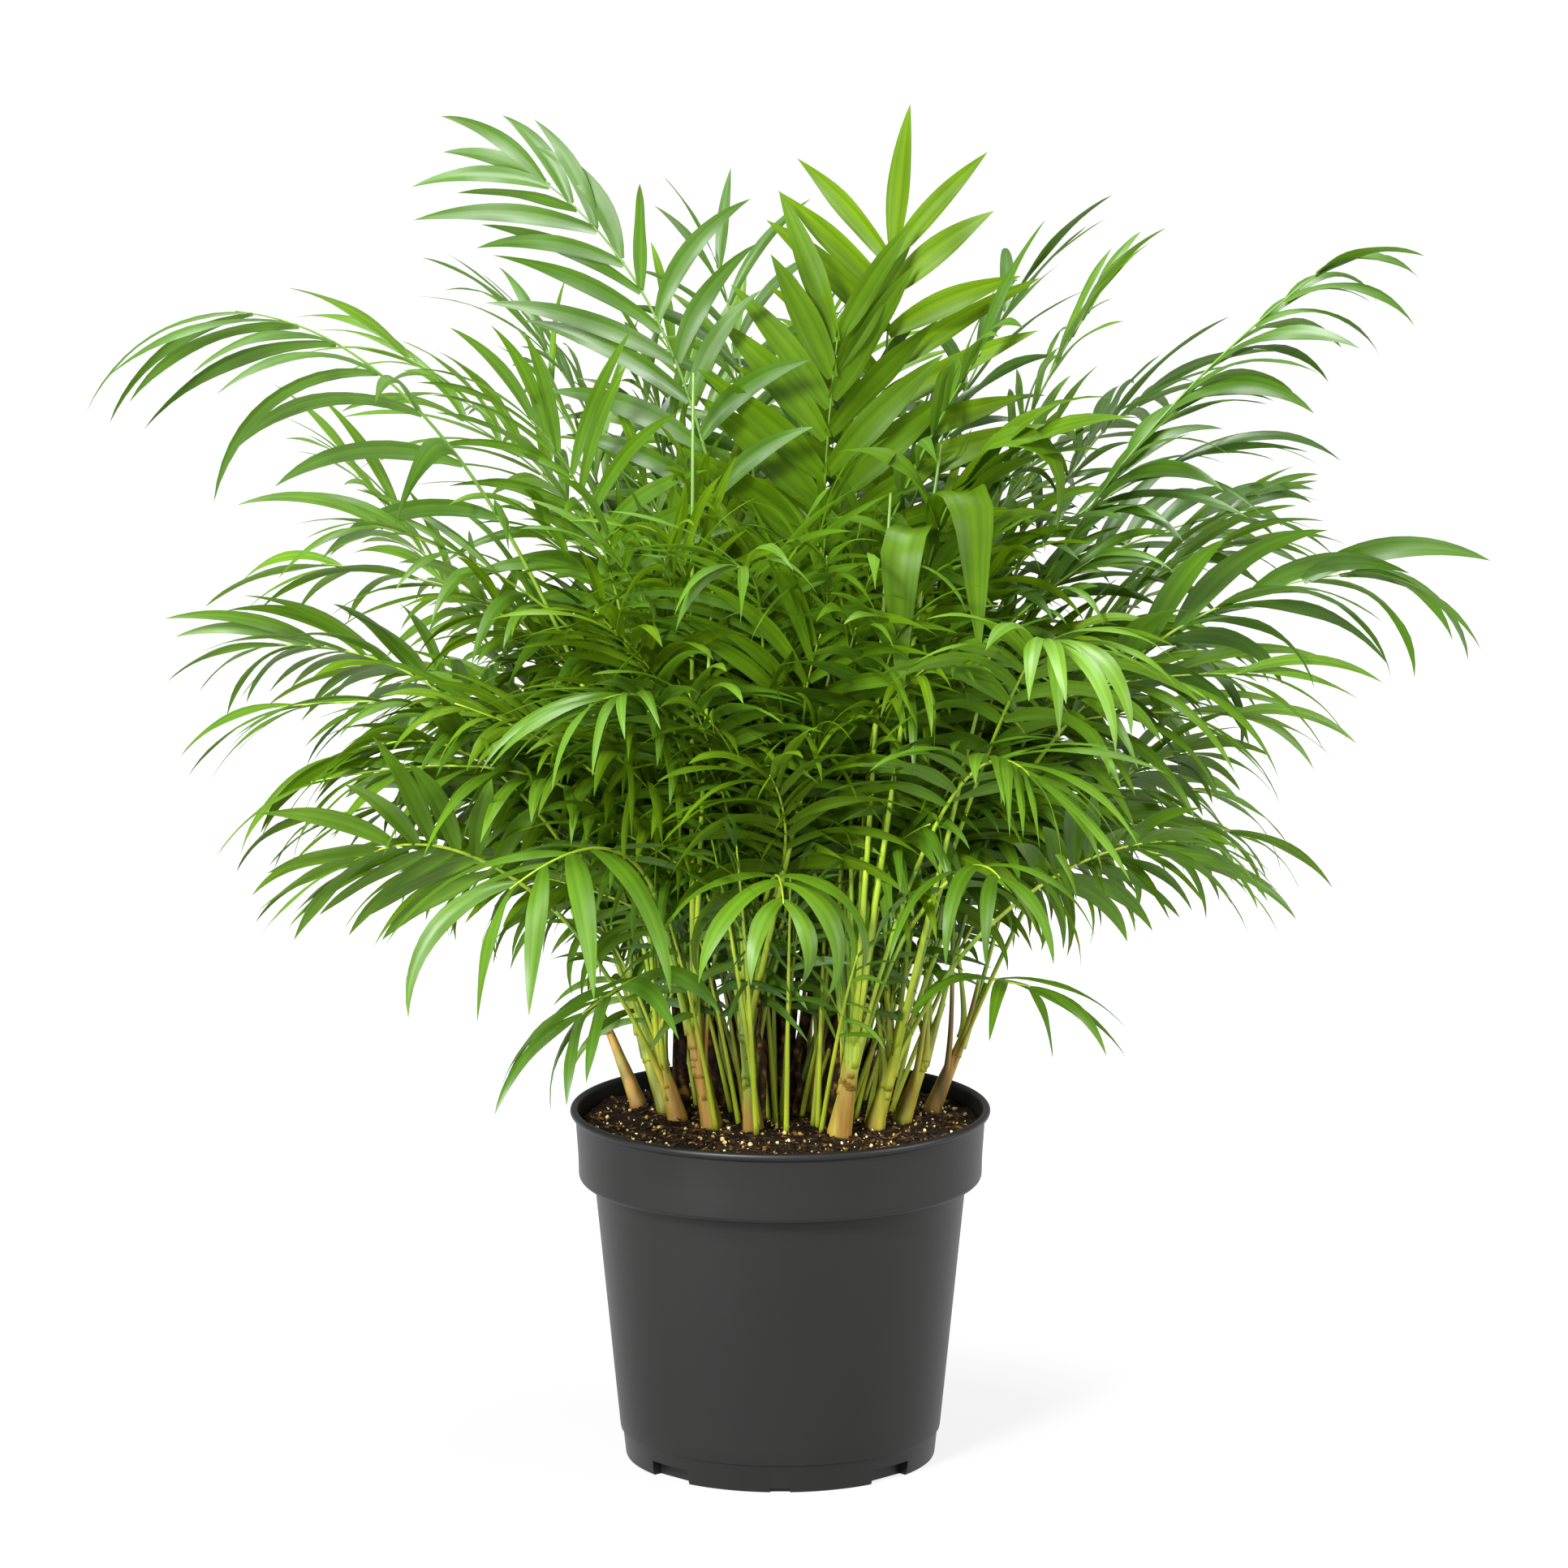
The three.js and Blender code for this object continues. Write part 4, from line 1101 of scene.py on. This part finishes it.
def leaf_material(name, colour, gloss, glow_share):
    """A glossy leaflet with fine veins along it, which light shines through"""
    g = Graph(name)
    where = g.add("UVMap", uv_map="leaf")
    veins = g.noise(1.0, 0.6, vector=g.add("Mapping", {"Vector": where, "Scale": (9, 0.7, 1)}))
    cloud = g.noise(22, 2)
    tint = g.ramp(cloud, (0.3, scaled(colour, 0.78)), (0.5, colour), (0.72, scaled(colour, 1.22)))
    lines = g.ramp(veins, (0.35, (0.80, 0.84, 0.78)), (0.62, (1.06, 1.05, 1.0)))
    lines = g.times(lines, midrib(g, where))
    surface = g.coat(g.times(tint, lines), g.between(cloud, 0.38, 0.52), (veins, 0.12, 0.3), gloss)
    glow = tuple(mix(a, b, glow_share) for a, b in zip(colour, SHINE_THROUGH))
    through = g.add("BsdfTranslucent", {"Color": g.times((*glow, 1), lines)})
    return g.finish(g.add("MixShader", {"Fac": THROUGH, 1: surface, 2: through}))


def rib_material():
    """Petioles are yellow-green at the foot, and ribs greener higher up"""
    g = Graph("palm_rib")
    tint = g.ramp(
        g.rise(0.28, 0.62), (0, (0.29, 0.36, 0.022)), (0.4, (0.26, 0.40, 0.02)), (1, (0.07, 0.155, 0.01)))
    streak = g.noise(60, 2, (1, 1, 0.12))
    shade = g.ramp(streak, (0.3, (0.72, 0.74, 0.7)), (0.7, (1.15, 1.1, 1.0)))
    return g.finish(g.coat(g.times(tint, shade), g.between(streak, 0.35, 0.5), (streak, 0.3, 0.4)))


def cane_material():
    """Sheathed canes: yellow-green with streaks, and rusty patches towards the foot"""
    g = Graph("palm_cane")
    rise = g.rise(0.212, 0.33)
    green = g.ramp(rise, (0, (0.29, 0.25, 0.022)), (0.35, (0.28, 0.32, 0.02)), (1, (0.18, 0.31, 0.014)))
    streak = g.noise(95, 3, (1, 1, 0.06))
    shade = g.ramp(
        streak, (0.34, (0.28, 0.44, 0.4)), (0.5, (0.85, 0.9, 0.8)), (0.68, (1.25, 1.15, 1.0)))
    patch = g.noise(34, 4, (1, 1, 0.3))
    patch = g.add("Math", {0: patch, 1: g.between(rise, 0.13, -0.1)})
    rusty = g.ramp(patch, (0.52, (0, 0, 0)), (0.66, (0.75, 0.75, 0.75)))
    rust = g.ramp(streak, (0.3, (0.09, 0.03, 0.006)), (0.7, (0.34, 0.14, 0.03)))
    tint = g.blend(rusty, g.times(green, shade), rust)
    return g.finish(g.coat(tint, g.between(streak, 0.4, 0.62), (streak, 0.5, 0.5)))


def mix_material():
    """Damp dark potting mix"""
    g = Graph("potting_mix_dark")
    crumbs = g.noise(420, 5)
    tint = g.ramp(
        crumbs, (0.35, (0.002, 0.001, 0.0004)), (0.55, (0.007, 0.0032, 0.001)), (0.75, (0.035, 0.016, 0.004)))
    return g.finish(g.coat(tint, g.between(crumbs, 0.6, 0.95), (crumbs, 0.9, 1.2), 0.15))


def bark_material(name):
    """Dry brown bark, from nearly black to tan"""
    g = Graph(name)
    tint = g.ramp(
        g.noise(160, 2),
        (0.38, (0.006, 0.0025, 0.0007)), (0.56, (0.034, 0.015, 0.0035)), (0.72, (0.22, 0.115, 0.02)))
    return g.finish(g.coat(tint, 0.75, (g.noise(900, 2), 0.5, 0.3), 0.2))


def perlite_material():
    """Pale grains with damp, brown patches"""
    g = Graph("perlite")
    tint = g.ramp(
        g.noise(240, 3), (0.38, (0.28, 0.16, 0.03)), (0.52, (0.55, 0.38, 0.12)), (0.68, (0.8, 0.72, 0.5)))
    return g.finish(g.coat(tint, 0.8, (g.noise(1500, 2), 0.4, 0.2)))


def pot_material():
    """Charcoal plastic with a satin skin and faint scuffs"""
    g = Graph("pot_plastic_charcoal")
    scuff = g.noise(9, 4, (1, 1, 0.35))
    tint = g.ramp(scuff, (0.35, (0.0045, 0.0045, 0.0044)), (0.7, (0.0065, 0.0064, 0.006)))
    return g.finish(g.coat(tint, g.between(scuff, 0.4, 0.5), (g.noise(1400, 2), 0.12, 0.12), 0.27))


def floor_material():
    """A white sweep that glows, less near the pot than away from it. The dimmer glow paints a shadow round
    the pot, on top of the faint real shadow on its pale diffuse part.
    """
    g = Graph("floor_white")
    flat = g.add("VectorMath", {0: g.add("TexCoord", out="Object"), 1: (1, 1, 0)}, operation="MULTIPLY")
    away = g.add("VectorMath", {0: flat}, out="Value", operation="LENGTH")
    # Glow that rises from near the pot to away from it: painted shadow round the pot
    near, far = PAINTED_SHADOW_FADE_AT
    away = g.add("MapRange", {"Value": away, "From Min": near, "From Max": far})
    material = g.finish(g.add("BsdfPrincipled", {
        "Base Color": (FLOOR_TINT, FLOOR_TINT, FLOOR_TINT, 1),
        "Roughness": 0.9,
        "Specular IOR Level": 0.0,
        "Emission Color": (1, 1, 1, 1),
        "Emission Strength": g.between(away, *FLOOR_GLOW_WITH_PAINTED_SHADOW),
    }))
    material.cycles.emission_sampling = "NONE"
    return material


# Pot and potting mix

def body_radius(z):
    """Radius of the pot's straight body at a height above its foot"""
    return mix(FOOT_D, BODY_TOP_D, z / (POT_H - COLLAR_H)) / 2


def arc(centre, radius, start, end, steps):
    """Points of an arc in the profile's plane, between two angles in degrees"""
    angles = np.radians(np.linspace(start, end, steps))
    return [(centre[0] + radius * math.cos(a), centre[1] + radius * math.sin(a)) for a in angles]


def pot_profile():
    """Outside of the pot from its foot to the lip, then the inside down to the floor. Bare
    numbers are in mm and ease an edge."""
    collar_z = POT_H - COLLAR_H
    collar = COLLAR_D / 2
    lip_z = POT_H - LIP["height"]
    rim = RIM_D / 2
    bead = LIP["height"] / 2
    inset = FOOT_BAND["inset"]
    foot = FOOT_D / 2 - inset
    band_z = FOOT_BAND["height"]
    foot_edge = [(foot - 1.2, 0), (foot - 0.3, 0.5), (foot + 0.1, 1.6)]
    band_edge = [
        (body_radius(band_z) - inset, band_z - 0.4),
        (body_radius(band_z) - inset + 0.3, band_z + 0.3),
        (body_radius(band_z + 1) - 0.2, band_z + 0.9),
        (body_radius(band_z + 2), band_z + 2.2),
    ]
    body = [(body_radius(z), z) for z in np.linspace(band_z + 12, collar_z - 3, 12)]
    collar_foot = [
        (body_radius(collar_z) + 0.2, collar_z - 1),
        (collar - 5.4, collar_z + 0.3),
        *arc((collar - CORNER_R, collar_z + 0.3 + CORNER_R), CORNER_R, -80, 0, 7),
    ]
    collar_wall = [(collar + 0.3, collar_z + 16), (collar + 1.6, lip_z - 6), (collar + 2.2, lip_z - 1)]
    lip = arc((rim - bead, POT_H - bead), bead, -60, 170, 14)
    inside = [
        (rim - LIP["reach"] - 0.2, POT_H - 3.4),
        (collar - WALL, collar_z + COLLAR_STEP),
        (BODY_TOP_D / 2 - WALL, collar_z),
        (body_radius(FOOT_CORNER["height"]) - WALL, FOOT_CORNER["height"]),
        (FOOT_D / 2 - FOOT_CORNER["width"], WALL),
        (0, WALL),
    ]
    return [(0, 0), *foot_edge, *band_edge, *body, *collar_foot, *collar_wall, *lip, *inside]


def turned_mesh(name, profile, sides):
    """A profile that starts and ends on the axis, turned about +Z"""
    profile = np.array(profile)
    angle = np.arange(sides) * math.tau / sides
    r, z = profile[1:-1].T
    rings = np.stack(np.broadcast_arrays(
        r[:, None] * np.cos(angle), r[:, None] * np.sin(angle), z[:, None]), -1)
    points = np.concatenate([rings.reshape(-1, 3), [(0, 0, profile[0][1]), (0, 0, profile[-1][1])]])
    return make_mesh(name, points, ring_quads(len(r), sides), end_fans(len(r), sides))


def cutter(notch):
    """Blocks across the foot of the wall, one at each angle"""
    corners = BLOCK * (notch["width"] / 2, notch["depth"] / 2, notch["height"]) + (0, -FOOT_D / 2, 0)
    sheaf = Sheaf()
    for angle in notch["angles"]:
        sheaf.add(turned(corners, Z, math.radians(angle)), BLOCK_FACES)
    return placed("cutter", sheaf.mesh("cutter"))


def work_in(obj):
    """Works the object's modifiers into its mesh"""
    shape = bpy.context.evaluated_depsgraph_get()
    mesh = bpy.data.meshes.new_from_object(obj.evaluated_get(shape))
    obj.modifiers.clear()
    obj.data = mesh


def make_pot():
    pot = piece(turned_mesh("pot_shell", pot_profile(), POT_SIDES), pot_material(), ["pot"])
    blocks = [cutter(notch) for notch in (NOTCH, SMALL_NOTCH)]
    for block in blocks:
        cut = pot.modifiers.new("notch", "BOOLEAN")
        cut.operation = "DIFFERENCE"
        cut.solver = "EXACT"
        cut.object = block
    work_in(pot)
    for block in blocks:
        bpy.data.objects.remove(block)
    soften(pot.data, POT_EDGE)


def soften(mesh, angle):
    """Smooth shading with edges that turn by more than the angle kept sharp"""
    mesh.shade_smooth()
    mesh.set_sharp_from_angle(angle=math.radians(angle))


def soil_relief(x, y):
    """Height of the potting mix above its level: lumps, and a low mound in the middle"""
    lumps = noise.fractal(Vector((x / SOIL["lump"], y / SOIL["lump"], 0.3)), *SOIL["roughness"])
    crumbs = noise.noise(Vector((x / SOIL["crumb"], y / SOIL["crumb"], 7.7)))
    mound = SOIL["mound"] * (1 - (math.hypot(x, y) / SOIL["mound_r"]) ** 2)
    return SOIL["lump_height"] * lumps + SOIL["crumb_height"] * crumbs + mound - SOIL["settled"]


def make_soil():
    """The mix fills the pot's wall. Its top is a fine grid with relief."""
    clear = WALL + SOIL["clear"]
    collar_z = POT_H - COLLAR_H
    lip_share = (SOIL_Z - collar_z - COLLAR_STEP) / (COLLAR_H - COLLAR_STEP)
    top_r = mix(COLLAR_D / 2 - WALL, RIM_D / 2 - LIP["reach"], lip_share) - SOIL["rim_clear"]
    profile = [
        (0, WALL + SEAT),
        (FOOT_D / 2 - FOOT_CORNER["width"] - SOIL["floor_clear"], WALL + SEAT),
        (body_radius(FOOT_CORNER["height"]) - clear, FOOT_CORNER["height"]),
        (BODY_TOP_D / 2 - clear, collar_z),
        (COLLAR_D / 2 - clear, collar_z + COLLAR_STEP),
        *((top_r * r, SOIL_Z) for r in np.linspace(1, 0, SOIL["rings"])[:-1]),
        (0, SOIL_Z),
    ]
    mesh = turned_mesh("mix_body", profile, SOIL["sides"])
    for vertex in mesh.vertices:
        x, y, z = vertex.co / MM
        if z > SOIL_Z - 1:
            vertex.co.z += soil_relief(x, y) * MM
    mesh.update()
    piece(mesh, mix_material(), ["potting_mix"])


def on_soil(rng, inside):
    """A random place on top of the potting mix"""
    r = inside * math.sqrt(rng.uniform(0, 1))
    angle = rng.uniform(0, math.tau)
    x, y = r * math.cos(angle), r * math.sin(angle)
    return np.array([x, y, SOIL_Z + soil_relief(x, y)])


def random_turn(rng, tilt):
    """A turn about +Z and then a tilt of up to so many degrees, as rows of a matrix"""
    spin = rng.uniform(0, math.tau)
    rows = turned(np.eye(3), Z, spin)
    axis = sideways(rng.uniform(0, math.tau))
    return turned(rows, axis, math.radians(rng.uniform(-tilt, tilt)))


def scatter_chips(rng):
    """Splinters of bark that lie about on the mix"""
    sheaf = Sheaf()
    for _ in range(CHIPS["count"]):
        size = np.array([rng.uniform(*ends) for ends in CHIPS["size"]])
        shape = BLOCK * size * rng.uniform(*CHIPS["rough"], BLOCK.shape)
        shape = shape @ random_turn(rng, CHIPS["tilt"])
        sheaf.add(shape + on_soil(rng, CHIPS["ring"]) + (0, 0, CHIPS["lift"]), BLOCK_FACES)
    mesh = sheaf.mesh("mix_bark")
    soften(mesh, CHIPS["edge"])
    piece(mesh, bark_material("bark_fibre"), ["potting_mix"])


def ball(rings, sides):
    """Points, quads and triangles of a small ball of radius 1"""
    tilt = np.linspace(0, math.pi, rings + 2)[1:-1]
    turn = np.arange(sides) * math.tau / sides
    points = np.array([*(direction(b, a) for a in tilt for b in turn), (0, 0, 1), (0, 0, -1)])
    return points, ring_quads(rings, sides)[:, ::-1], end_fans(rings, sides)[:, ::-1]


def scatter_perlite(rng):
    """Pale grains, most of them small"""
    points, quads, tris = ball(PERLITE["rings"], PERLITE["sides"])
    least, more = PERLITE["size"]
    sheaf = Sheaf()
    for _ in range(PERLITE["count"]):
        size = least + more * rng.uniform(0, 1) ** PERLITE["mostly_small"]
        shape = points * size * rng.uniform(*PERLITE["rough"], (len(points), 1))
        shape = (shape * rng.uniform(*PERLITE["stretch"], 3)) @ random_turn(rng, PERLITE["tilt"])
        sheaf.add(shape + on_soil(rng, PERLITE["ring"]) + (0, 0, PERLITE["lift"] * size), quads, tris)
    piece(sheaf.mesh("mix_perlite"), perlite_material(), ["potting_mix"])


# Stage, lights and camera

def make_camera():
    data = bpy.data.cameras.new("camera")
    data.lens = CAMERA["lens"]
    data.sensor_width = CAMERA["sensor"]
    data.clip_end = CAMERA["clip_end"]
    camera = placed("camera", data)
    x, y, z = CAMERA["at"]
    camera.location = Vector(CAMERA["at"]) * MM
    camera.rotation_euler = (math.pi / 2 - math.atan2(z - CAMERA["aim_z"], -y), 0, 0)
    bpy.context.scene.camera = camera


def softbox(name, at, size, watts):
    data = bpy.data.lights.new(name, "AREA")
    data.shape = "RECTANGLE"
    data.size, data.size_y = size
    data.energy = watts
    light = placed(name, data)
    light.location = at
    light.rotation_euler = (Vector(LIGHTS_AIM) - Vector(at)).to_track_quat("-Z", "Y").to_euler()


def make_stage():
    """A white floor, an even pale sky and soft lights"""
    corners = [(x * FLOOR_R, y * FLOOR_R, 0) for x, y in ((-1, -1), (1, -1), (1, 1), (-1, 1))]
    mesh = make_mesh("floor", corners, [(0, 1, 2, 3)])
    mesh.materials.append(floor_material())
    floor = placed("floor", mesh)
    world = bpy.data.worlds.new("studio")
    world.use_nodes = True
    background = world.node_tree.nodes["Background"]
    background.inputs["Color"].default_value = (1, 1, 1, 1)
    background.inputs["Strength"].default_value = SKY
    bpy.context.scene.world = world
    bpy.context.scene.view_settings.view_transform = "Standard"
    for light in LIGHTS:
        softbox(*light)


def grow_plant():
    """The canes, and all fronds that stand on them"""
    canes = grow_canes()
    plant_named(canes)
    plant_fill(canes)
    for cane in canes:
        group_fronds(cane)
    fronds = [frond for cane in canes for group in cane.groups for frond in group]
    settle_ribs(sorted(fronds, key=lambda frond: frond.fill), canes)
    return canes, fronds + plant_inner(canes) + plant_front(canes)


def dress_plant(canes, fronds):
    """Canes, ribs and leaflets, with the leaflets of each shade in a piece of their own"""
    rng = np.random.default_rng(FILL["seed"])
    shoots = plant_shoots(rng)
    stand_shading_stubs(rng)
    stems, ribs = Sheaf(), Sheaf()
    leaves = {(tone, i): Sheaf() for tone, shades in SHADES.items() for i in range(len(shades))}
    nodes = {key: set() for key in leaves}
    stands = by_name(canes)
    for cane in canes:
        add_cane(cane, stems, rng)
    for number, frond in enumerate(fronds + shoots):
        if frond.cane:
            add_sheath(stands[frond.cane], frond, stems, rng)
        add_rib(frond, ribs)
        key = (frond.tone, number % len(SHADES[frond.tone]))
        grow = grow_broad if frond.name == "broad_right" else grow_leaves
        grow(frond, leaves[key], rng)
        if frond.node:
            nodes[key].add(frond.node)
    add_petioles(canes, ribs)
    frond_nodes = sorted({frond.node for frond in fronds if frond.node})
    piece(stems.mesh("canes"), cane_material(), ["cane_" + cane.name for cane in canes])
    piece(ribs.mesh("ribs"), rib_material(), frond_nodes)
    for (tone, i), sheaf in leaves.items():
        name = f"leaflets_{tone}_{i + 1}"
        material = leaf_material(name, SHADES[tone][i], GLOSS[tone], GLOW[tone])
        piece(sheaf.mesh(name), material, sorted(nodes[tone, i]))


make_camera()
make_stage()
make_pot()
make_soil()
rng = np.random.default_rng(SEED)
scatter_chips(rng)
scatter_perlite(rng)
dress_plant(*grow_plant())

bpy.context.view_layer.update()
